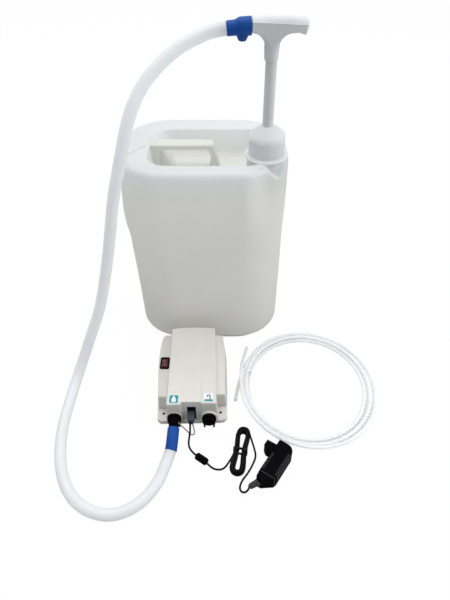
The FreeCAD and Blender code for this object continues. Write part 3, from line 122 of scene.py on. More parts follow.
def roundLine(corners, radii, count=6, closed=False):
    # a line whose corners are arcs, each given by its radius, as a dense list of points
    corners = np.asarray(corners, dtype=float)
    radii = np.broadcast_to(radii, len(corners))
    last = len(corners) - 1
    out = []
    for i, (here, radius) in enumerate(zip(corners, radii)):
        if radius <= 0 or (not closed and i in (0, last)):
            out.append(here)
            continue
        a, b = corners[i - 1] - here, corners[i + 1 if i < last else 0] - here
        la, lb = np.linalg.norm(a), np.linalg.norm(b)
        a, b = a / la, b / lb
        half = math.acos(np.clip(np.dot(a, b), -1, 1)) / 2
        reach = min(radius / math.tan(half), 0.48 * la, 0.48 * lb)
        radius = reach * math.tan(half)
        middle = here + (a + b) / np.linalg.norm(a + b) * radius / math.sin(half)
        start, end = here + a * reach - middle, here + b * reach - middle
        turn = math.pi - 2 * half
        t = np.linspace(0, 1, count + 1)
        sweep = (np.sin((1 - t) * turn)[:, None] * start + np.sin(t * turn)[:, None] * end) \
            / math.sin(turn)
        out.extend(middle + sweep)
    return np.array(out)


def turned(name, profile, centre, axis="z", count=64):
    # a profile of (radius, height) carried round an axis through the centre
    angle = np.linspace(0, 2 * math.pi, count, endpoint=False)[:, None]
    r, h = np.array(profile).T
    a, b = r * np.cos(angle), r * np.sin(angle)
    h = np.broadcast_to(h, a.shape)
    points = {"z": (a, b, h), "y": (a, h, b), "x": (h, a, b)}[axis]
    return gridMesh(name, np.stack(points, axis=-1) + np.array(centre), loopU=True)


def inset(outline, distance):
    # a closed anticlockwise outline moved inwards; where it would cross itself, the points that
    # come too near the outline are drawn together
    ahead, behind = np.roll(outline, -1, axis=0), np.roll(outline, 1, axis=0)
    along = ahead - behind
    along /= np.maximum(np.linalg.norm(along, axis=1), 1e-9)[:, None]
    moved = outline + np.stack([-along[:, 1], along[:, 0]], axis=1) * distance
    if distance <= 0:
        return moved
    edge = ahead - outline
    reach = np.maximum((edge ** 2).sum(axis=1), 1e-12)
    gone = moved[:, None] - outline
    part = np.clip((gone * edge).sum(axis=2) / reach, 0, 1)
    near = np.linalg.norm(gone - part[..., None] * edge, axis=2).min(axis=1)
    good = near > distance * 0.985 - 0.02
    if good.all() or good.sum() < 4:
        return moved
    count = len(outline)
    kept = np.flatnonzero(good)
    places = np.concatenate([kept - count, kept, kept + count])
    drawn = sampled(np.concatenate([moved[kept]] * 3), np.arange(count), places)
    return np.where(good[:, None], moved, drawn)


def rounding(radius, count):
    # a quarter round as steps of (how far in, how far up)
    return [(radius * (1 - math.sin(a)), radius * (1 - math.cos(a)))
            for a in np.linspace(0, math.pi / 2, count)]


def spun(degrees):
    return math.cos(math.radians(degrees)), math.sin(math.radians(degrees))


def shifted(piece, centre=(0, 0, 0), turn=0, tilt=0):
    # turn a piece's mesh about Z, tip it about X and move it, so its object stays put
    points = np.empty(len(piece.data.vertices) * 3)
    piece.data.vertices.foreach_get("co", points)
    points = points.reshape(-1, 3) - kitShift / 1000
    c, s = spun(tilt)
    points = points @ np.array([[1, 0, 0], [0, c, s], [0, -s, c]])
    c, s = spun(turn)
    points = points @ np.array([[c, s, 0], [-s, c, 0], [0, 0, 1]])
    points += (np.asarray(centre, dtype=float) + kitShift) / 1000
    piece.data.vertices.foreach_set("co", points.ravel())
    piece.data.update()
    return piece


def smoothStep(value, low, high):
    t = np.clip((value - low) / (high - low), 0, 1)
    return t * t * (3 - 2 * t)


def addNode(tree, kind, inputs=(), **options):
    # a shader node with its options, and inputs given values or fed from sockets
    node = tree.nodes.new("ShaderNode" + kind)
    for key, value in options.items():
        setattr(node, key, value)
    feed(tree, node, inputs)
    return node


def feed(tree, node, inputs):
    for key, value in dict(inputs).items():
        if isinstance(value, bpy.types.NodeSocket):
            tree.links.new(value, node.inputs[key])
        else:
            node.inputs[key].default_value = value


# camera, light and floor

cameraSettings = {"place": (37.5, -778.5, 805.5), "pitch": 41.54, "focal": 512.8, "frame": 600,
                  "sensor": 36, "near": 0.01}


def makeCamera():
    s = cameraSettings
    data = bpy.data.cameras.new("camera")
    data.sensor_width = s["sensor"]
    data.lens = s["focal"] * s["sensor"] / s["frame"]
    data.clip_start = s["near"]
    camera = linked("camera", data)
    camera.location = place(s["place"])
    camera.rotation_euler = (math.radians(90 - s["pitch"]), 0, 0)
    bpy.context.scene.camera = camera
    bpy.context.scene.view_settings.view_transform = "Standard"


# each lamp has a power, a place and a size
lightSettings = {"world": 0.46, "floor": (0.5, 0.5, 0.5, 1), "glow": 0.96, "size": 6,
                 "level": -0.0002, "sky": (0.97, 0.985, 1, 1), "white": (1, 1, 1, 1),
                 "middle": (0, -0.05, 0.2),
                 "lamps": {"top": (122, (-0.4, 0.8, 4), 4),
                           "side": (15, (1.8, -0.2, 1), 1.2)}}


def makeFloor():
    # a pale floor that takes shadows, and looks nearly white to the camera
    s = lightSettings
    mesh = bpy.data.meshes.new("floor")
    mesh.from_pydata([(x * s["size"], y * s["size"], s["level"])
                      for x, y in ((-1, -1), (1, -1), (1, 1), (-1, 1))], [], [(0, 1, 2, 3)])
    floor = linked("floor", mesh)
    material = bpy.data.materials.new("paleFloor")
    material.use_nodes = True
    tree = material.node_tree
    tree.nodes.clear()
    seen = addNode(tree, "LightPath").outputs["Is Camera Ray"]
    tone = addNode(tree, "Mix", {"A": s["floor"], "B": s["white"], "Factor": seen},
                   data_type="RGBA")
    diffuse = addNode(tree, "BsdfDiffuse", {"Color": tone.outputs["Result"]})
    glow = addNode(tree, "Emission", {"Color": s["white"], "Strength": 1})
    share = addNode(tree, "Math", {0: seen, 1: s["glow"]}, operation="MULTIPLY")
    mix = addNode(tree, "MixShader", {0: share.outputs[0], 1: diffuse.outputs[0],
                                      2: glow.outputs[0]})
    addNode(tree, "OutputMaterial", {"Surface": mix.outputs[0]})
    floor.data.materials.append(material)


def makeWorld():
    # a dim sky for lighting, seen as white directly, through things and in reflections
    s = lightSettings
    world = bpy.data.worlds.new("studio")
    bpy.context.scene.world = world
    world.use_nodes = True
    tree = world.node_tree
    tree.nodes.clear()
    light = addNode(tree, "Background", {"Color": s["sky"], "Strength": s["world"]})
    seen = addNode(tree, "Background", {"Color": s["white"], "Strength": 1})
    paths = addNode(tree, "LightPath").outputs
    share = paths["Is Camera Ray"]
    for other in ("Is Transmission Ray", "Is Glossy Ray"):
        share = addNode(tree, "Math", {0: share, 1: paths[other]}, operation="MAXIMUM").outputs[0]
    mix = addNode(tree, "MixShader", {0: share, 1: light.outputs[0], 2: seen.outputs[0]})
    addNode(tree, "OutputWorld", {"Surface": mix.outputs[0]})


def makeLamps():
    s = lightSettings
    for name, (power, at, size) in s["lamps"].items():
        lamp = bpy.data.lights.new(name, "AREA")
        lamp.energy, lamp.size = power, size
        piece = linked(name, lamp)
        piece.location = at
        toward = np.array(s["middle"]) - np.array(at)
        pitch = math.atan2(math.hypot(toward[0], toward[1]), -toward[2])
        piece.rotation_euler = (pitch, 0, math.atan2(toward[1], toward[0]) - math.pi / 2)
        piece.visible_camera = False


makeCamera()
makeFloor()
makeWorld()
makeLamps()
print("camera and stage")

# materials

def newMaterial(name):
    material = bpy.data.materials.new(name)
    material.use_nodes = True
    tree = material.node_tree
    return material, tree, tree.nodes["Principled BSDF"]


def noise(tree, scale, detail=3):
    where = addNode(tree, "TexCoord")
    return addNode(tree, "TexNoise", {"Scale": scale, "Detail": detail, "Roughness": 0.5,
                                      "Vector": where.outputs["Object"]}).outputs["Fac"]


def mixed(tree, factor, first, second):
    # a colour between two, each a triple or a socket
    first, second = (c if isinstance(c, bpy.types.NodeSocket) else (*c, 1) for c in (first, second))
    return addNode(tree, "Mix", {"Factor": factor, "A": first, "B": second},
                   data_type="RGBA").outputs["Result"]


def ramp(tree, source, low, high, end="From"):
    # a value spread from a range in the source, or onto a range for the result
    return addNode(tree, "MapRange", {end + " Min": low, end + " Max": high,
                                      "Value": source}).outputs["Result"]


def raised(tree, scale, detail, strength, distance):
    # a fine grain for a shader's normal
    return addNode(tree, "Bump", {"Strength": strength, "Distance": distance,
                                  "Height": noise(tree, scale, detail)}).outputs["Normal"]


def plastic(name, colour, darker, rough, grain=900, bump=0.02, specular=0.5):
    # moulded plastic: slight mottling of the colour, uneven gloss and a fine grain
    material, tree, shader = newMaterial(name)
    feed(tree, shader, {
        "Base Color": mixed(tree, ramp(tree, noise(tree, 18, 4), 0.35, 0.7), colour, darker),
        "Roughness": ramp(tree, noise(tree, 60), rough * 0.88, min(1, rough * 1.15), "To"),
        "Normal": raised(tree, grain, 2, bump, 0.0005),
        "Specular IOR Level": specular})
    return material


def canPlastic(name, low, milky, high=None):
    # natural polyethylene: milky and lit from inside; painted light shifts the colour towards a
    # paler, cooler top colour near the rim
    material, tree, shader = newMaterial(name)
    where = addNode(tree, "TexCoord").outputs["Object"]
    # painted light: the top colour, given as high, is mixed in by height from 335 to 392 mm
    height = ramp(tree, addNode(tree, "SeparateXYZ", {0: where}).outputs["Z"], 0.335, 0.392)
    body = mixed(tree, ramp(tree, noise(tree, 7, 4), 0.3, 0.75), low,
                 [c * 1.06 for c in low])
    colour = mixed(tree, height, body, high or low)
    feed(tree, shader, {"Base Color": colour, "Roughness": 0.3, "Specular IOR Level": 0.45,
                        "Normal": raised(tree, 260, 3, 0.03, 0.001)})
    # light that enters the milky wall elsewhere comes out here
    through = addNode(tree, "BsdfTranslucent", {"Color": colour})
    both = addNode(tree, "MixShader", {0: milky, 1: shader.outputs[0], 2: through.outputs[0]})
    feed(tree, tree.nodes["Material Output"], {"Surface": both.outputs[0]})
    return material


def metal(name, colour, rough):
    material, tree, shader = newMaterial(name)
    darker = [c * 0.8 for c in colour]
    feed(tree, shader, {"Base Color": mixed(tree, noise(tree, 400, 4), colour, darker),
                        "Metallic": 1, "Roughness": rough})
    return material


finishes = {
    # the can's third colour is painted light on its lit rim
    "can": canPlastic("canPolyethylene", (0.88, 0.875, 0.85), 0.45, (0.86, 0.885, 0.89)),
    "white_plastic": plastic("whitePlastic", (0.70, 0.715, 0.745), (0.66, 0.675, 0.705), 0.34),
    "seal_rubber": plastic("blackRubber", (0.03, 0.03, 0.03), (0.02, 0.02, 0.02), 0.8, bump=0.1),
    "blue_sleeve": plastic("blueSleeve", (0.004, 0.07, 0.34), (0.003, 0.055, 0.28), 0.5, bump=0.1,
                           specular=0.2),
    "housing": plastic("lightGreyHousing", (0.72, 0.71, 0.665), (0.69, 0.68, 0.635), 0.5,
                       grain=1500, bump=0.12),
    "steel": metal("steel", (0.6, 0.6, 0.62), 0.35),
    "magnet": plastic("ferrite", (0.08, 0.08, 0.085), (0.06, 0.06, 0.065), 0.6),
    "black_plastic": plastic("blackPlastic", (0.003, 0.003, 0.0035), (0.0015, 0.0015, 0.002), 0.5,
                             bump=0.08, specular=0.015),
    "black_ribs": plastic("glossyBlack", (0.02, 0.02, 0.022), (0.014, 0.014, 0.016), 0.22,
                          bump=0.05),
    "plug_face": plastic("slatePlastic", (0.035, 0.055, 0.075), (0.028, 0.045, 0.06), 0.4,
                         specular=0.25),
    "switch_red": plastic("tintedRed", (0.17, 0.008, 0.012), (0.11, 0.005, 0.008), 0.2),
    "board": plastic("boardGreen", (0.03, 0.16, 0.06), (0.02, 0.12, 0.045), 0.4),
    "winding": metal("copperWire", (0.75, 0.4, 0.2), 0.4),
    "hose": canPlastic("whiteHose", (0.92, 0.93, 0.94), 0.45),
    "clear_tube": canPlastic("milkyTube", (0.96, 0.965, 0.97), 0.5),
    # the grip's third colour is painted light, paler where its top catches the light
    "grip": canPlastic("gripPolyethylene", (0.80, 0.80, 0.76), 0.3, (0.83, 0.835, 0.79)),
    "cap": canPlastic("capPlastic", (0.95, 0.96, 0.965), 0.62),
    "wire": plastic("creamJacket", (0.42, 0.42, 0.29), (0.34, 0.34, 0.22), 0.4, bump=0.1),
    "teal": plastic("tealPrint", (0.01, 0.27, 0.31), (0.01, 0.25, 0.29), 0.35),
    "print": plastic("whitePrint", (0.86, 0.89, 0.9), (0.82, 0.86, 0.87), 0.35),
    "ink": plastic("slateInk", (0.03, 0.09, 0.13), (0.025, 0.075, 0.11), 0.4),
    "mark": plastic("paleMark", (0.55, 0.36, 0.37), (0.5, 0.32, 0.33), 0.4),
    "lead": plastic("leadJacket", (0.003, 0.003, 0.0035), (0.0015, 0.0015, 0.002), 0.3, bump=0.1,
                    specular=0.08),
}


def dressNodes():
    # every CAD node gets the finish of its slot in the record
    for entry in frame["record"]["subparts"]:
        piece, finish = frame["nodes"][entry["node"]], finishes[entry["material_slot"]]
        if not piece.material_slots:
            piece.data.materials.append(finish)
        for slot in piece.material_slots:
            slot.material = finish


dressNodes()
print("finishes")


def dress(piece, finish, *nodes, body="kit", slot=None):
    # give a new piece its finish and the body it rides on, and hide the CAD nodes it stands for
    piece.data.materials.append(finishes[finish])
    if body:
        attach(piece, body)
    if nodes:
        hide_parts(*nodes)
    slot or finish
    return piece


# cords: each is one spline through listed points, and the coil and hank are formulas

cordSettings = {"hose": 10, "sleeve": 10.6, "lead": 1.75, "wire": 1.2, "tube": 3.175,
                "tie": 0.8, "gap": 0.55}


def cordCurve(name, points, radius):
    # a round cord on a smooth spline through control points in kit millimetres
    curve = bpy.data.curves.new(name, "CURVE")
    curve.dimensions = "3D"
    curve.bevel_depth = radius / 1000
    curve.bevel_resolution = 6
    curve.resolution_u = 6
    curve.use_fill_caps = True
    spline = curve.splines.new("NURBS")
    places = place(points)
    spline.points.add(len(places) - 1)
    spline.points.foreach_set("co", np.column_stack([places, np.ones(len(places))]).ravel())
    spline.order_u = 3
    spline.use_endpoint_u = True
    return linked(name, curve)


def splineLine(points):
    # the points that Blender gives for the same spline with no bevel
    piece = cordCurve("routeLine", points, 0)
    piece.data.resolution_u = 12
    bpy.context.view_layer.update()
    line = bpy.data.meshes.new_from_object(piece)
    places = np.empty(len(line.vertices) * 3)
    line.vertices.foreach_get("co", places)
    bpy.data.objects.remove(piece)
    bpy.data.meshes.remove(line)
    return places.reshape(-1, 3) * 1000 - kitShift


def asCord(piece, line, **words):
    place(line[0]).tolist()


def tubeAlong(name, line, radius, count):
    # a round tube on a line: rings square to it, carried along without twist
    along = np.gradient(line, axis=0)
    along /= np.linalg.norm(along, axis=1)[:, None]
    side = np.cross(along[0], [0, 0, 1])
    sides = []
    for way in along:
        side = side - way * np.dot(side, way)
        side = side / np.linalg.norm(side)
        sides.append(side)
    sides = np.array(sides)
    ups = np.cross(along, sides)
    angle = np.linspace(0, 2 * math.pi, count, endpoint=False)
    radius = np.broadcast_to(radius, len(line))[:, None, None]
    grid = line[:, None] + radius * (np.cos(angle)[:, None] * sides[:, None]
                                     + np.sin(angle)[:, None] * ups[:, None])
    return gridMesh(name, pinched(grid), loopV=True)


def zigzag(t, halfRun):
    # loops inwards and the layer at t turns; each run ends in a half turn that climbs
    layer = np.floor(t / (halfRun + 0.5))
    within = t - layer * (halfRun + 0.5)
    over = np.maximum(0, within - halfRun)
    run = np.minimum(within, halfRun) + over - 2 * over * over
    return np.where(layer % 2 == 0, run, halfRun - run), layer + smoothStep(over, 0, 0.5)


hoseRoute = [(40.5, 75, 598.6), (25, 75, 596.5), (3, 73, 590.5), (-40, 60, 573), (-88, 30, 535),
    (-112, 2, 493), (-130, -18, 430), (-149, -32, 365), (-167, -47, 271), (-193, -68, 165),
    (-216, -85, 110), (-236, -102, 62), (-252, -128, 25), (-259, -172, 11), (-260, -225, 10),
    (-253, -280, 10), (-238, -328, 10), (-214, -366, 10), (-184, -388, 10), (-151, -397, 10),
    (-123, -391, 10), (-98, -375, 10), (-78, -348, 10), (-67, -318, 10), (-58, -281, 11)]
lowerSleeveRoute = [(-55, -243, 22.5), (-55.2, -257, 21), (-56.3, -271, 15), (-57.5, -281, 11)]
wireRoute = [(-49.5, -231.5, 30), (-45, -234, 25), (-37, -237, 16), (-28, -241, 7),
    (-21.5, -244, 3.5), (-17.5, -242.5, 6), (-18.4, -238.5, 12.5), (-20.6, -233.5, 20),
    (-21, -231, 25)]
leadStart = [(-25, -235.1, 29), (-25, -242, 27.5), (-25, -249, 20), (-27, -254, 9),
    (-28, -262, 2.5), (-25, -271, 1.75), (-19, -280, 4), (-10, -289, 6.5), (0, -296.4, 6.5),
    (8, -302.5, 4), (15, -308.5, 1.75), (24, -312, 1.75), (33, -311, 1.75), (40, -305, 1.75)]
leadEnd = [(91, -276, 3), (91.5, -288, 1.75), (86, -301, 1.75), (80.5, -312, 1.75),
    (74, -322, 1.75), (67, -331, 1.75), (63, -340, 1.75), (62, -349, 4), (66, -357, 8),
    (74, -357.5, 12), (78.6, -349.5, 14)]


# loops of the hank and of the coil
hankSettings = {"turns": 7.375, "each": 18, "waist": 9.6, "belly": 15, "long": 47, "turn": 80,
                "middle": (64.5, -280)}
coilSettings = {"turns": 5, "each": 24, "start": 168.8, "middle": (200.3, -132.3),
                "reach": (132.5, 143.6), "tight": 7, "spread": 4.3}


def loopTurns(s):
    return np.linspace(0, s["turns"], int(s["turns"] * s["each"]) + 1)


def hankPoints():
    # a figure drawn in at its waist, its loops set inwards along their normals
    s, c = hankSettings, cordSettings
    t = loopTurns(s)
    k, layer = zigzag(t, 1.5)
    pitch = 2 * c["lead"] + c["gap"]
    angle = np.radians(360 * t - 90)

    def base(angle):
        across = (s["waist"] + s["belly"] * np.cos(angle) ** 2) * np.sin(angle)
        return across, s["long"] * np.cos(angle)

    (x, y), (x2, y2) = base(angle), base(angle + 1e-5)
    run = np.hypot(x2 - x, y2 - y)
    x, y = x + k * pitch * (y2 - y) / run, y - k * pitch * (x2 - x) / run
    turnX, turnY = spun(s["turn"])
    return np.column_stack([s["middle"][0] + x * turnY + y * turnX,
                            s["middle"][1] - x * turnX + y * turnY,
                            c["tie"] + c["lead"] + layer * pitch])


def coilPoints():
    # loops three abreast, closed up at the tied side and spread opposite, with two loose ends
    s, c = coilSettings, cordSettings
    t = loopTurns(s)
    k, layer = zigzag(t, 2)
    angle = np.radians(s["start"] - 360 * t)
    inward = k * (s["tight"] + s["spread"] * (1 + np.cos(angle)) / 2)
    lift, low = 2 * c["tube"] + c["gap"], c["tie"] + c["tube"]
    loops = np.column_stack([s["middle"][0] + (s["reach"][0] - inward) * np.cos(angle),
                             s["middle"][1] + (s["reach"][1] - inward) * np.sin(angle),
                             low + layer * lift])
    before = [(57.5, -166, low), (61, -142, low)]
    after = [(72, -78, low + lift), (76, -62, low + lift - 0.5), (79.5, -46, low + 3),
             (84, -27, low)]
    return np.concatenate([before, loops, after])


def makeCoilTie():
    # a flat strip bent round the coil: one rounded outline outside and inside
    half, high, wide, thick, corner = 10.6, 14.6, 3.8, 0.8, 2.2
    outer, inner = (roundLine([(-half - far, thick - far), (half + far, thick - far),
                               (half + far, high + far), (-half - far, high + far)],
                              corner + far, closed=True) for far in (thick, 0))
    rows = [atLevel(line, y)[:, [0, 2, 1]] for line, y in (
        (inner, -wide / 2), (outer, -wide / 2), (outer, wide / 2), (inner, wide / 2))]
    band = gridMesh("coilTieBand", np.array(rows), loopU=True, loopV=True)
    return dress(shifted(band, (78.6, -98.6, 0), turn=-14), "clear_tube", "coil_tie",
                 slot="lead")


def makeCords():
    s = cordSettings
    line = splineLine(hoseRoute)
    hose = tubeAlong("waterHose", line, s["hose"], 32)
    dress(hose, "hose", "water_hose", body=None)
    place((-190, -70, 160))
    place((30, 75, 602))
    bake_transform(hose)
    sleeve = tubeAlong("lowerSleeve", splineLine(lowerSleeveRoute), s["sleeve"], 32)
    dress(sleeve, "blue_sleeve", "lower_sleeve")
    asCord(hose, line, diameter=0.02, far_end="object", stiffness="medium", lay="loose",
           path=place(line).tolist(), with_pieces=[sleeve])
    wire = cordCurve("floatWire", wireRoute, s["wire"])
    dress(wire, "wire", "float_wire", slot="lead")
    band = makeCoilTie()
    leadRoute = np.concatenate([leadStart, hankPoints(), leadEnd])
    lead = cordCurve("powerLead", leadRoute, s["lead"])
    dress(lead, "lead", "power_lead")
    coil = cordCurve("outletTube", coilPoints(), s["tube"])
    dress(coil, "clear_tube", "outlet_tube")
    onLead = [frame["nodes"][name] for name in (
        "choke_bead", "lead_tie", "adapter_case", "adapter_end", "adapter_plug_head")]
    onLead += [bpy.data.objects[name] for name in (
        "leadRelief", "nearRibs", "farRibs", "adapterSeam")]
    asCord(lead, splineLine(leadRoute), diameter=0.0035, far_end="plug", stiffness="limp",
           lay="coiled", with_pieces=onLead)
    asCord(coil, splineLine(coilPoints()), diameter=0.00635, far_end="bare", stiffness="medium",
           lay="coiled", with_pieces=[band])
    asCord(wire, splineLine(wireRoute), diameter=0.0024, far_end="object", stiffness="limp",
           lay="loose")


# lines and plates

def anticlockwise(line):
    ahead = np.roll(line, -1, axis=0)
    area = np.sum(line[:, 0] * ahead[:, 1] - line[:, 1] * ahead[:, 0])
    return line if area > 0 else line[::-1]


def plateMesh(name, outline, low, high, soft, plane="xy"):
    # a plate with rounded edges; planes xz and yz stand it up, low and high along Y or X
    outline = anticlockwise(np.asarray(outline, dtype=float))
    rim = inset(outline, soft + 0.35)
    edge = [(inset(outline, off), rise) for off, rise in rounding(soft, 6)]
    rows = [atLevel(rim, low)] + [atLevel(line, low + rise) for line, rise in edge]
    rows += [atLevel(line, high - rise) for line, rise in edge[::-1]] + [atLevel(rim, high)]
    order = {"xy": [0, 1, 2], "xz": [0, 2, 1], "yz": [2, 0, 1]}[plane]
    return cappedMesh(name, np.array(rows)[:, :, order])


def even(outline, step=1, closed=True):
    # the same line with its points spread evenly
    outline = np.asarray(outline, dtype=float)
    if closed:
        outline = np.concatenate([outline, outline[:1]])
    gone = np.concatenate([[0], np.cumsum(steps(outline))])
    count = max(8, int(gone[-1] / step))
    at = np.linspace(0, gone[-1], count + (not closed), endpoint=not closed)
    return sampled(outline, at, gone)


def pinched(grid):
    # a grid closed by drawing a copy of each end row together at its middle
    ends = [end.mean(axis=1, keepdims=True).repeat(grid.shape[1], axis=1)
            for end in (grid[:1], grid[-1:])]
    return np.concatenate([ends[0], grid, ends[1]])


def steps(line):
    return np.linalg.norm(np.diff(line, axis=0), axis=1)


def apart(line, least):
    # which points of a line lie far enough from the one before
    return np.concatenate([[True], steps(line) > least])


# water can: sides holds rows of level, left and right reach, and how far front and back draw in

canSettings = {
    "depth": 240, "height": 394, "corner": 86, "cornerAt": (65.5, 86),
    "rimRound": 12, "footRound": 20, "recessFloor": 344, "lip": 4, "sweep": 14,
    "recess": (-101, 116, 36, 187), "recessCorner": 38, "lean": 0.12,
    "neck": (110.5, 75),
    "sides": np.array([
        (0, 143.5, 150.5, 1), (40, 144, 150.8, 0.8), (110, 146, 151, 0.5),
        (175, 149, 151, 0.2), (206, 150.6, 150.6, 0.4), (228, 151.6, 150.6, 1.6),
        (243, 153.5, 150.6, 1.4), (262, 156.6, 151.2, 0), (287, 157.6, 152, -0.6),
        (325, 156.2, 152.2, -0.4), (360, 154.6, 152, 0), (394, 153, 151.5, 0)]),
    "crease": ((-158, 52), (-106, 118)), "creaseDeep": 9, "creaseWide": 3.4,
    "notchAim": -60, "notchDeep": 24, "notchWide": 25, "press": 11,
    "boss": [(34.5, 340), (34.5, 350), (34, 384), (33, 386), (28, 386.5), (27.5, 388),
             (27.5, 420), (26.5, 421), (23.5, 421), (23.5, 341), (34.5, 340)],
}


def canRing(left, right, front, back, corner, each=40):
    # a closed rounded rectangle with the same number of points in each side and corner
    corner = min(corner, (right - left) / 2 - 1, (back - front) / 2 - 1)
    x0, x1, y0, y1 = left + corner, right - corner, front + corner, back - corner
    arcs = []
    for cx, cy, start in ((x1, y0, -90), (x1, y1, 0), (x0, y1, 90), (x0, y0, 180)):
        angle = np.radians(np.linspace(start, start + 90, each + 1))
        arcs.append(np.column_stack([cx + corner * np.cos(angle), cy + corner * np.sin(angle)]))
    part = np.linspace(0, 1, each + 1, endpoint=False)[1:, None]
    return np.concatenate([piece for arc, after in zip(arcs, arcs[1:] + arcs[:1])
                           for piece in (arc, arc[-1] + (after[0] - arc[-1]) * part)])


def canRows():
    # from the middle of the foot out, up the sides, over the rim and down to the recess's middle
    s = canSettings
    foot, top, height, floor = s["footRound"], s["rimRound"], s["height"], s["recessFloor"]
    lip, sweep = s["lip"], s["sweep"]
    x0, x1, y0, y1 = s["recess"]

    def side(level, inward):
        left, right, press = (np.interp(level, s["sides"][:, 0], s["sides"][:, k])
                              for k in (1, 2, 3))
        return canRing(-left + inward, right - inward, press + inward,
                       s["depth"] - press - inward, max(20, s["corner"] - inward * 0.8))

    def recess(grow, share=1):
        return canRing(x0 - grow, x1 + grow, y0 - grow, y1 + grow,
                       s["recessCorner"] + grow * share)

    rows = [atLevel(side(5, 0) * part + np.array([2, 120]) * (1 - part),
                    5 * (1 - smoothStep(part, 0.7, 0.9))) for part in np.linspace(0.02, 0.92, 8)]
    levels = [(up, off) for off, up in rounding(foot, 9)]
    levels += [(level, 0) for level in (
        *np.linspace(foot, 200, 14)[1:], *np.linspace(206, 290, 22),
        *np.linspace(298, height - top, 16))]
    levels += [(height - down, off) for down, off in rounding(top, 11)[1:]]
    rows += [atLevel(side(level, inward), level) for level, inward in levels]
    outer, inner = rows[-1][:, :2], recess(lip)
    rows += [atLevel(outer * (1 - part) + inner * part, height + 0.8 * math.sin(math.pi * part))
             for part in np.linspace(0, 1, 17)[1:]]
    rows += [atLevel(recess(off), height - down) for off, down in rounding(lip, 6)[1:]]
    rows += [atLevel(recess(-(height - lip - level) * s["lean"], 0.5), level)
             for level in np.linspace(height - lip, floor + sweep, 7)[1:]]
    slope = (height - lip - floor - sweep) * s["lean"]
    rows += [atLevel(recess(-slope - off, 0.6), floor + up) for up, off in rounding(sweep, 8)[1:]]
    last = rows[-1][:, :2]
    centre = last.mean(axis=0)
    return np.array(rows + [atLevel(centre + (last - centre) * part, floor)
                            for part in np.linspace(0.9, 0.02, 8)])


def makeCan():
    s = canSettings
    grid = canRows()
    x, y, z = grid[..., 0], grid[..., 1], grid[..., 2]

    # the recess's back wall steps forward at the left, where the grip's root joins the rim
    x0, x1, y0, y1 = s["recess"]
    root = smoothStep(-x, 62, 98) * smoothStep(y, 118, 140) * smoothStep(215 - y, 0, 40)
    inside = (x > x0 - 6) & (x < x1 + 6) & (y > y0 - 6) & (y < y1 + 6)
    z += (s["height"] - 1.5 - z) * np.where(inside, root, 0)

    # the rim dips along a crease at the left, and in a V at the corner before the neck
    start, end = np.array(s["crease"])
    far = np.linalg.norm(end - start)
    way = (end - start) / far
    along = (x - start[0]) * way[0] + (y - start[1]) * way[1]
    off = (x - start[0]) * -way[1] + (y - start[1]) * way[0]
    crease = s["creaseDeep"] * np.exp(-np.abs(off / s["creaseWide"]) ** 1.6) \
        * smoothStep(far + 3 - along, 0, 14) * smoothStep(along, -30, -10)
    neckX, neckY = s["neck"]
    aimX, aimY = spun(s["notchAim"])
    ahead = (x - neckX) * aimX + (y - neckY) * aimY
    across = (y - neckY) * aimX - (x - neckX) * aimY
    notch = np.clip(1 - np.abs(across) / s["notchWide"], 0, 1)
    valley = s["notchDeep"] * (0.6 * notch + 0.4 * smoothStep(notch, 0, 1)) \
        * smoothStep(ahead, 22, 40)
    share = np.clip((z - s["recessFloor"]) / (s["height"] - s["recessFloor"]), 0, 1)
    z -= (valley + crease) * share

    # the corner under that V is pressed flat, fading out downwards
    offX, offY = x - s["cornerAt"][0], y - s["cornerAt"][1]
    outside = smoothStep(np.hypot(offX, offY), s["corner"] - 40, s["corner"] - 8)
    aim = np.clip(1 - np.abs(np.degrees(np.arctan2(offY, offX)) + 55) / 33, 0, 1)
    press = s["press"] * smoothStep(aim, 0, 1) * smoothStep(z, 245, 372) * outside
    x -= press * 0.57
    y += press * 0.82
    dress(gridMesh("waterCan", grid, loopV=True), "can", "jerrycan", "can_top")


# the can's grip is an arch between two lines, from front to back
gripSettings = {
    "front": 115, "back": 143, "soft": 4.6, "count": 140,
    "outer": ([(-112, 340), (-112, 394), (15, 394), (30, 340)], [0, 10, 5, 0]),
    "inner": ([(-82, 340), (-86, 366), (-80, 383), (7, 383), (12, 366), (7, 340)],
              [0, 9, 7, 7, 8, 0]),
}


def makeGrip():
    s = gripSettings
    soft, half = s["soft"], (s["back"] - s["front"]) / 2
    t = np.linspace(0, 1, s["count"])
    outer, inner = (sampled(line, t, np.linspace(0, 1, len(line))) for line in (
        even(roundLine(*s[key]), closed=False) for key in ("outer", "inner")))
    width = np.linalg.norm(outer - inner, axis=1)[:, None]
    unit = (outer - inner) / width
    loops = []
    for cu, cv, begin in ((1, 1, 0), (0, 1, 90), (0, -1, 180), (1, -1, 270)):
        for angle in np.radians(np.linspace(begin, begin + 90, 6)):
            bend = soft * math.cos(angle)
            flat = inner + unit * ((width - soft + bend) if cu else (soft + bend))
            deep = (s["front"] + s["back"]) / 2 + cv * (half - soft) + soft * math.sin(angle)
            loops.append(atLevel(flat, deep)[:, [0, 2, 1]])
    grip = gridMesh("canGrip", np.stack(loops, axis=1), loopV=True)
    dress(grip, "grip", "can_grip", slot="can")


makeCan()
makeGrip()
dress(turned("canNeck", canSettings["boss"], (*canSettings["neck"], 0)), "can", "can_neck")
print("water can")


# cap adapter, and the wand's T grip with its blue sleeve

capSettings = {
    "profile": [(29, 394.2), (39, 394.2), (39, 396.8), (31.5, 397.6), (31.2, 434),
                (13.5, 447.2), (12, 448), (9.9, 448), (9.9, 436), (28.4, 430),
                (29, 394.2)],
    "radii": [0, 1.2, 1, 2, 1.6, 1.2, 0.6, 0.4, 0.4, 1, 0],
    "arcs": (-22, 62), "section": [(28.6, 434.4), (28.9, 436.9), (27.2, 437.8), (26.6, 435.6)],
}


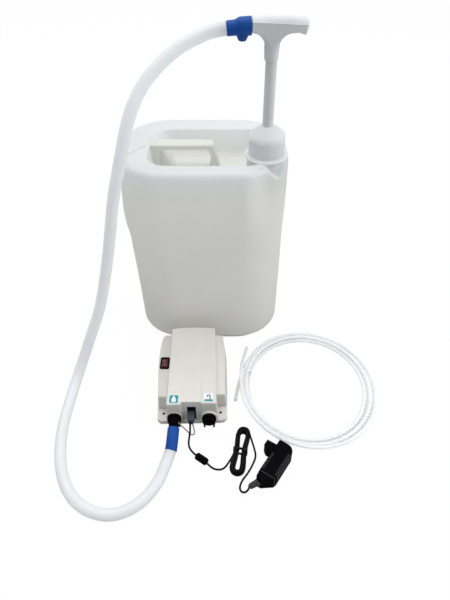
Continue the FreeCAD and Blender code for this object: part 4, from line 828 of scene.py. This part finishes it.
def makeCap():
    s = capSettings
    cx, cy = canSettings["neck"]
    cap = turned("capAdapter", roundLine(s["profile"], s["radii"]), (cx, cy, 0), count=96)
    dress(cap, "cap", "cap_adapter", body="cap", slot="white_plastic")
    # two raised arcs on the cone's right side
    angle = np.radians(np.linspace(*s["arcs"], 30))[:, None]
    for shift in (0, -4.4):
        r, h = (np.array(s["section"]) + [shift, -shift * 0.73]).T
        grid = np.stack([cx + r * np.cos(angle), cy + r * np.sin(angle),
                         np.broadcast_to(h, (30, 4))], axis=-1)
        rib = gridMesh("capRib", pinched(grid), loopV=True)
        dress(rib, "cap", body="cap", slot="white_plastic")
    print("cap")


makeCap()

teeSettings = {
    "shift": -0.6, "left": -31, "right": 54.8, "stem": 11.2, "foot": 553.2, "chamfer": 5.1,
    "arc": 20.6, "arcLevel": 573, "deep": 12.2, "crown": 1.8,
    "wing": ([31.9, 34, 36, 38, 42, 45, 48, 49.8, 51.6, 53.3, 54.4, 54.8],
             [593.6, 593.8, 594.1, 594.2, 593.6, 592.6, 591.8, 591.8, 595, 600, 604, 607]),
    "crest": ([-31, -10, 0, 28, 45, 50, 52.6, 54.3, 54.8],
              [616.2, 617.1, 617.3, 616.6, 615.4, 614.2, 612.5, 609.5, 607.8]),
    "edge": ([-31, 0, 38, 50, 54.8], [609, 608, 606.2, 605.9, 607.2]),
}


def teeUnder(x):
    # underside: chamfered foot, a quarter arc out to each wing, and a lip at the right end
    s = teeSettings
    stem, arc, far = s["stem"], s["arc"], np.abs(x)
    bend = s["arcLevel"] + np.sqrt(np.maximum(0, arc ** 2 - (stem + arc - far) ** 2))
    low = s["foot"] + s["chamfer"] * np.clip((far - stem + 0.9) / 0.9, 0, 1)
    out = np.where(far > stem, np.where(far < stem + arc, bend, s["arcLevel"] + arc), low)
    return np.where(x > stem + arc, np.interp(x, *s["wing"]), out)


def teeDepths(x, z, under):
    # half the grip's depth at each place and height
    s = teeSettings
    stem, arc, far = s["stem"], s["arc"], np.abs(x)
    foot = np.clip((z - s["foot"]) / s["chamfer"], 0, 1)
    beveled = stem - 0.9 + 0.9 * foot
    bend = np.sqrt(np.maximum(0, arc ** 2 - np.clip(z - s["arcLevel"], 0, arc) ** 2))
    reach = np.where(foot < 1, beveled, stem + arc - bend)
    square = 2 + 9 * smoothStep(z, 566, 604) ** 1.5
    neck = (1 - np.clip(far / np.maximum(reach, 0.1), 0, 1) ** square) ** (1 / square)
    wing = np.sqrt(1 - (1 - np.clip((z - under[:, None]) / 1.4, 0, 1)) ** 2)
    rounded = wing + (1 - wing) * (1 - smoothStep(far, stem + 3, stem + 12))
    full = np.where(z < s["arcLevel"] + arc - 0.02, neck, 1) * rounded
    full = np.where(far > stem + arc, wing, full)
    ends = np.sqrt(1 - np.clip((x - (s["right"] - 5.5)) / 5.5, 0, 0.999) ** 2)
    return (beveled + (s["deep"] - stem) * smoothStep(z, 562, 588)) * full * ends


def makeTee():
    # each section across the grip: half depths from the underside up, then a crowned top
    s = teeSettings
    stem = s["stem"]
    cx, cy = canSettings["neck"]
    cx += s["shift"]
    stations = np.concatenate([
        np.linspace(s["left"], -stem - 0.05, 40),
        stem * np.sin(np.radians(np.linspace(-90, 90, 41))),
        np.linspace(stem + 0.05, 49, 54), np.linspace(49.4, s["right"], 18)])
    under = teeUnder(stations)
    crest, edge = np.interp(stations, *s["crest"]), np.interp(stations, *s["edge"])
    edge = np.maximum(edge, under + 0.2)
    part = (1 - np.cos(np.linspace(0, math.pi, 44))) / 2
    z = under[:, None] + (edge - under)[:, None] * part[None]
    x = np.broadcast_to(stations[:, None], z.shape)
    half = teeDepths(x, z, under)
    top = np.cos(np.linspace(0, math.pi / 2, 15))[None, 1:-1]
    rise = crest[:, None] - (crest - edge)[:, None] * top ** s["crown"]
    side, crown = np.stack([x, -half, z], axis=-1), np.stack(
        [x[:, :rise.shape[1]], -top * half[:, -1:], rise], axis=-1)
    front = np.concatenate([side, crown], axis=1)
    ridge, keel = (np.stack([stations, np.zeros_like(stations), level], axis=-1)[:, None]
                   for level in (crest, under))
    grid = np.concatenate([keel, front, ridge, front[:, ::-1] * [1, -1, 1]], axis=1)
    tee = gridMesh("wandGrip", pinched(grid) + np.array([cx, cy, 0]), loopV=True)
    dress(tee, "white_plastic", "wand_grip", body="wand")
    # the mould line round the grip, where its crowned top meets the sides
    for side in (-1, 1):
        line = np.column_stack([stations + cx, cy + side * (half[:, -1] - 0.15), edge])
        seam = tubeAlong("gripSeam", line[apart(line, 0.4)], 0.5, 10)
        dress(seam, "white_plastic", body="wand")


def makeSleeve():
    # fat over the socket, thin over the hose, and sagging a little
    cx, cy = canSettings["neck"]
    along = np.array([0, 0.6, 2, 16, 19, 22, 25, 35, 37.4, 38, 38])
    radius = np.array([12.2, 13, 13.4, 13.3, 12.7, 11.6, 11.1, 10.9, 10.8, 10.2, 0.2])
    drop = np.interp(along, [0, 14, 24, 38], [0, 0.5, 2.6, 3.9])
    line = np.column_stack([cx - 32.5 - along, np.full(len(along), cy), 602.3 - drop])
    fine = np.linspace(0, len(along) - 1, 70)
    line = sampled(line, fine, range(len(along)))
    radius = np.interp(fine, range(len(along)), radius)
    keep = apart(line, 1e-3)
    dress(tubeAlong("upperSleeve", line[keep], radius[keep], 48), "blue_sleeve",
          "upper_sleeve", body="wand")
    lump = roundLine([(0.01, -20.8), (5.6, -20.8), (7.4, -17.5), (9.6, -12.5), (10.4, -4),
                      (4, -1), (0.01, -1)], [0, 2, 2.5, 3, 2, 1, 0])
    dress(turned("sleeveLump", lump, (cx - 46.5, cy, 602)), "blue_sleeve", body="wand")


makeTee()
makeSleeve()
print("wand grip")


# pump box: cover, tray, pictogram plates, switch, ports and clips

pumpSettings = {
    "middle": -25, "draftRight": 3.5, "draftLeft": 1.5, "low": 12, "shoulder": 48,
    "deck": 62,
    "shoulderLine": [(-71, -192.2, 0), (-85.8, -191.8, 2.5), (-88.7, -155, 60), (-91.2, -127, 60),
        (-92.6, -97, 60), (-92.4, -74, 60), (-91, -52, 40), (-88.4, -32.5, 9), (33.2, -32.5, 5),
        (36.9, -76, 60), (37.5, -127, 60), (37.5, -185.8, 2.5), (-24, -187, 0)],
    "deckLine": [(-42.6, -219.6, 1), (-67.7, -220.2, 2), (-67.6, -202, 60), (-68.6, -148, 60),
        (-69.4, -89, 60), (-71.2, -28.6, 2), (-50, -25, 60), (-27, -23.6, 60), (-6, -24.4, 60),
        (16.6, -26.4, 2), (19.1, -110, 60), (21, -184, 60), (22.3, -216.9, 2), (-5.2, -216.6, 1),
        (-7.2, -213.8, 1), (-41.4, -213.8, 1)],
    "trayLine": [(-87.6, -214, 2), (-81.5, -220, 4), (29, -217.6, 40), (37, -216, 5),
        (41.6, -208, 6), (42, -140, 60), (40.2, -60, 60), (36.5, -33, 6), (-87, -33, 8),
        (-93.6, -60, 60), (-94.4, -95, 60), (-91.4, -150, 60)],
    "switch": (-79.8, -110.4), "ports": {"inlet": -54.8, "outlet": 8.6}, "axis": 25,
}


def loftOutline(name, outline, low, high, soft):
    # a moulding of one outline, with leaning sides and a rounded top edge
    s = pumpSettings
    off = outline[:, 0] - s["middle"]
    grow = np.where(off > 0, s["draftRight"], s["draftLeft"]) * off / 64
    lean = np.column_stack([grow, np.zeros(len(grow))])
    rows = [atLevel(outline + lean * (1 - t), low + (high - soft - low) * t)
            for t in np.linspace(0, 1, 5)]
    rows += [atLevel(inset(outline, off), high - down) for down, off in rounding(soft, 7)[1:]]
    rows.append(atLevel(inset(outline, soft + 0.4), high))
    return cappedMesh(name, np.array(rows))


def lineOf(corners, step=1.5, radius=None):
    # a closed line from corners of (x, y) or (x, y, radius)
    corners = np.array(corners, dtype=float)
    radii = corners[:, 2] if radius is None else radius
    return anticlockwise(even(roundLine(corners[:, :2], radii, 8, closed=True), step))


# plates on the cover: name, level, rise, finish, softness, radius of all corners, corners
shoulderTop, deckTop, printTop = 47.6, 61.6, 62.55
padSettings = [
    ("leftLane", deckTop, 1, "housing", 0.5, None, [
        (-66.4, -218.6, 1), (-43.6, -218.4, 1), (-43, -160, 3), (-45, -148, 5),
        (-66.6, -148, 5), (-66.9, -160, 3)]),
    ("rightLane", deckTop, 1, "housing", 0.5, None, [
        (-4.2, -215.6, 1), (20.9, -215.8, 1), (19.6, -150, 3), (17, -140, 5), (-4, -140, 5),
        (-5.6, -152, 3)]),
    ("shoulderField", shoulderTop, 1.1, "housing", 0.6, None, [
        (-84.2, -189.8, 1), (-70, -190.2, 1), (-70, -158, 2), (-86, -147.5, 2)]),
    ("bottlePlate", printTop - 0.4, 0.55, "print", 0.25, 1.2, [
        (-63.6, -217.4), (-45.6, -217.6), (-45.4, -198.6), (-63.2, -198.4)]),
    ("bottleField", printTop - 0.2, 0.5, "teal", 0.25, 2, [
        (-62.8, -216.6), (-46.4, -216.8), (-46.2, -199.4), (-62.4, -199.2)]),
    ("bottleShape", printTop, 0.45, "print", 0.25, None, [
        (-58.4, -214.6, 1.5), (-50.8, -214.7, 1.5), (-50.8, -206.4, 2), (-52.8, -204.4, 1),
        (-52.8, -201.4, 0.6), (-56.3, -201.3, 0.6), (-56.3, -204.3, 1), (-58.3, -206.3, 2)]),
    ("spoutPlate", printTop - 0.4, 0.55, "print", 0.25, 1.2, [
        (-0.6, -213.6), (17.2, -213.8), (15.8, -194.9), (-1.2, -194.7)]),
    ("spoutEdge", printTop - 0.2, 0.5, "teal", 0.25, 0.6, [
        (0.6, -212.9), (16.2, -213), (15.8, -208.4), (0.8, -208.3)]),
    ("spoutShape", printTop, 0.45, "ink", 0.25, None, [
        (11.6, -208, 0.2), (11.6, -202, 3), (11.2, -198, 2.6), (4.8, -198, 2.6),
        (4.8, -203.4, 0.3), (6.6, -203.4, 0.3), (6.8, -199.9, 1.4), (9.6, -199.9, 1.4),
        (9.7, -208, 0.2)]),
]


def makePads(pads):
    for name, low, rise, finish, soft, radius, corners in pads:
        pad = plateMesh(name, lineOf(corners, 0.6, radius), low, low + rise, soft)
        dress(pad, finish, slot="housing")


def makeCover():
    s = pumpSettings
    dress(loftOutline("pumpShoulders", lineOf(s["shoulderLine"]), s["low"], s["shoulder"], 2.4),
          "housing", "pump_cover")
    dress(loftOutline("pumpDeck", lineOf(s["deckLine"]), s["low"], s["deck"], 1.8), "housing")
    dress(plateMesh("pumpTray", lineOf(s["trayLine"]), 3, 12.6, 1.2), "housing", "pump_base")
    makePads(padSettings[:3])
    # painted shade: a thin black disc laid on the tray at each mounting hole stands for the shade
    # inside the hole
    for name, across, back in (("leftHole", -76.6, -203.2), ("rightHole", 29.2, -200.6)):
        ring = turned(name, [(0, 12.5), (2.2, 12.5), (2.5, 12.75), (0, 12.75)],
                      (across, back, 0), count=28)
        dress(ring, "black_plastic")
    # painted shade: a black plate set into the front face stands for the shade in the deep recess
    # where the plug goes in
    slot = lineOf([(-31.2, 12.8, 1), (-15.4, 12.8, 1), (-15.4, 47.6, 1.5), (-31.2, 47.6, 1.5)], 0.8)
    dress(plateMesh("plugSlot", slot, -214.6, -210, 0.4, "xz"), "black_plastic")
    makePads(padSettings[3:])
    print("pump cover")


def frameMesh(name, outline, profile, centre):
    # a moulding round an outline, drawn in by each profile offset
    rows = [atLevel(inset(outline, off), level) for off, level in profile]
    return gridMesh(name, np.array(rows) + np.array([*centre, 0]), loopU=True, loopV=True)


def block(across, near, far, radius, step):
    # a closed line round an upright rectangle as wide to both sides
    return lineOf([(-across, near), (across, near), (across, far), (-across, far)], step, radius)


def makeSwitch():
    cx, cy = pumpSettings["switch"]
    bezel = frameMesh("switchBezel", block(9, -14.6, 14.6, 3.2, 0.7), [
        (0, 47), (0, 49.3), (0.35, 50.1), (1, 50.7), (1.7, 50.9), (2.6, 50.7), (3, 50.2),
        (3.1, 49), (3.1, 45), (2, 44.6)], (cx, cy))
    dress(bezel, "black_plastic", "switch_bezel")
    profile = roundLine([(-10.4, 49.3), (0, 47.3), (11, 47.7), (11, 49.2), (9.6, 49.8),
                         (0, 49), (-9.2, 51.6), (-10.1, 51)],
                        [0.3, 3, 0.3, 0.6, 0.8, 6, 0.8, 0.6], closed=True)
    rocker = plateMesh("switchRocker", even(profile, 0.5) + np.array([cy, 0]), cx - 5.5, cx + 5.5,
                       0.7, "yz")
    dress(rocker, "switch_red", "switch_rocker", body="rocker")
    # the two marks: a bar at the far end and a ring at the near end
    bar = plateMesh("barMark", block(0.4, 4.2, 7, 0.2, 0.3), -0.3, 0.1, 0.1)
    ring = frameMesh("ringMark", block(1.4, -6.8, -4, 1.35, 0.3),
                     [(0, -0.3), (0, 0.1), (0.6, 0.1), (0.6, -0.3)], (0, 0))
    for mark, tilt in ((bar, 4.8), (ring, -15.3)):
        dress(shifted(mark, (cx, cy, 49.05), tilt=tilt), "mark", body="rocker",
              slot="switch_red")
    print("switch")


# ports are profiles of (radius, Y); a clip's legs step in below the reach of its lift
portSettings = {
    "neck": [(0, -213), (11.9, -213), (11.9, -222.4), (11.3, -223), (9.2, -223), (9.2, -227),
        (10.6, -227), (11.6, -227.7), (11.6, -230.2), (10.9, -231)],
    "inlet": [(9.6, -231), (8.9, -231.6), (8.8, -243), (8.2, -243.4), (0, -243.4)],
    "outlet": [(9.4, -231), (8.8, -230.2), (7, -230), (6.4, -230.6), (5.2, -230.8),
        (4.7, -230.3), (4.4, -222), (0, -222)],
    "surround": [(11.9, -213), (15.2, -213), (15, -219.6), (14.2, -220.6), (12.9, -220.8),
        (11.9, -220.2), (11.9, -213)],
    "leg": np.array([(9.45, -14.2), (6.9, -15.6), (6.9, -22), (10.3, -22), (10.3, -14.4),
        (11.2, -13.4), (11.6, -6.5)]),
    "arch": np.radians(np.linspace(-12, 192, 31)), "clip": (-226.7, -223.3),
}


def makePorts():
    s = portSettings
    arch = np.column_stack([np.cos(s["arch"]), np.sin(s["arch"])])
    outline = np.concatenate([12.8 * arch, s["leg"][::-1] * [-1, 1], 9.45 * arch[::-1], s["leg"]])
    for side, across in pumpSettings["ports"].items():
        at = (across, 0, pumpSettings["axis"])
        port = turned(side + "Port", s["neck"] + s[side], at, "y", 56)
        dress(port, "black_plastic", side + "_port")
        dress(turned(side + "Surround", s["surround"], at, "y", 56), "housing")
        clip = plateMesh(side + "Clip", even(outline, 0.55) + at[::2], *s["clip"], 0.5, "xz")
        dress(clip, "black_plastic", side + "_clip", body=side + "_latch")
    print("ports and clips")


makeCover()
makeSwitch()
makePorts()


# wall adapter: gripping ribs, seam, and the ribbed relief where the lead goes in

# a rib is a section carried along a path of offset, level and the way it faces
adapterSettings = {
    "at": (94.6, -328.3), "turn": 56.4, "top": 30, "reliefTurn": 210.4,
    "relief": (91.6, -341.9, 14),
    "ribs": (("nearRibs", 0, 1, np.arange(7, 41, 2.5)),
             ("farRibs", -30.5, -1, np.arange(7, 54, 2.5))),
    "ribSection": ((-0.55, 0), (-0.4, 0.5), (0, 0.68), (0.4, 0.5), (0.55, 0)),
    "ribPath": ((-5.5, 29.7, 0, 1), (-3.2, 30, 0, 1), (-1.4, 29.5, 0.5, 0.86),
                (-0.4, 28.4, 0.86, 0.5), (0, 26.8, 1, 0), (0, 18, 1, 0), (-0.5, 17, 1, 0)),
}


def onAdapter(points):
    # from the adapter's own length and width to kit millimetres
    s = adapterSettings
    c, sn = spun(s["turn"])
    x, y, z = np.asarray(points, dtype=float).T
    return np.column_stack([s["at"][0] + x * c - y * sn, s["at"][1] + x * sn + y * c, z])


def makeAdapter():
    s = adapterSettings
    top = s["top"]
    for name, edge, way, stations in s["ribs"]:
        points, faces = [], []
        for station in stations:
            grid = np.array([[(station + along, edge + way * (off + nx * up), level + nz * up)
                              for along, up in s["ribSection"]]
                             for off, level, nx, nz in s["ribPath"]])
            index = pointNumbers(grid) + sum(map(len, points))
            points.append(grid.reshape(-1, 3))
            faces += gridFaces(index) + [index[0].tolist(), index[-1].tolist()]
            faces += gridFaces(index[:, [0, -1]])
        ribs = meshPiece(name, onAdapter(np.concatenate(points)), faces)
        dress(ribs, "black_ribs", slot="black_plastic")
    seam = roundLine([(0.2, -29.4, 4), (0.2, -29, top), (0.2, -0.6, top), (0.2, 0.1, 4)], 1)
    bead = tubeAlong("adapterSeam", onAdapter(even(seam, closed=False)), 0.5, 10)
    dress(bead, "black_ribs", slot="black_plastic")
    profile = [(0, -2), (5.9, -2), (5.9, 0.2)]
    for i in range(5):
        size, at = 5.9 - 0.22 * i, 2.9 * i
        profile += [(size - less, at + up) for less, up in (
            (0, 1.7), (0.3, 2), (1.9, 2), (1.9, 2.9), (0.5, 2.9), (0.22, 3.1))]
    profile += [(3.6, 15), (2.4, 17.5), (0, 17.5)]
    relief = turned("leadRelief", profile, (0, 0, 0), "x", 40)
    dress(shifted(relief, s["relief"], turn=s["reliefTurn"]), "black_ribs",
          "lead_relief", slot="black_plastic")
    print("adapter")


makeAdapter()
makeCords()
print("cords")
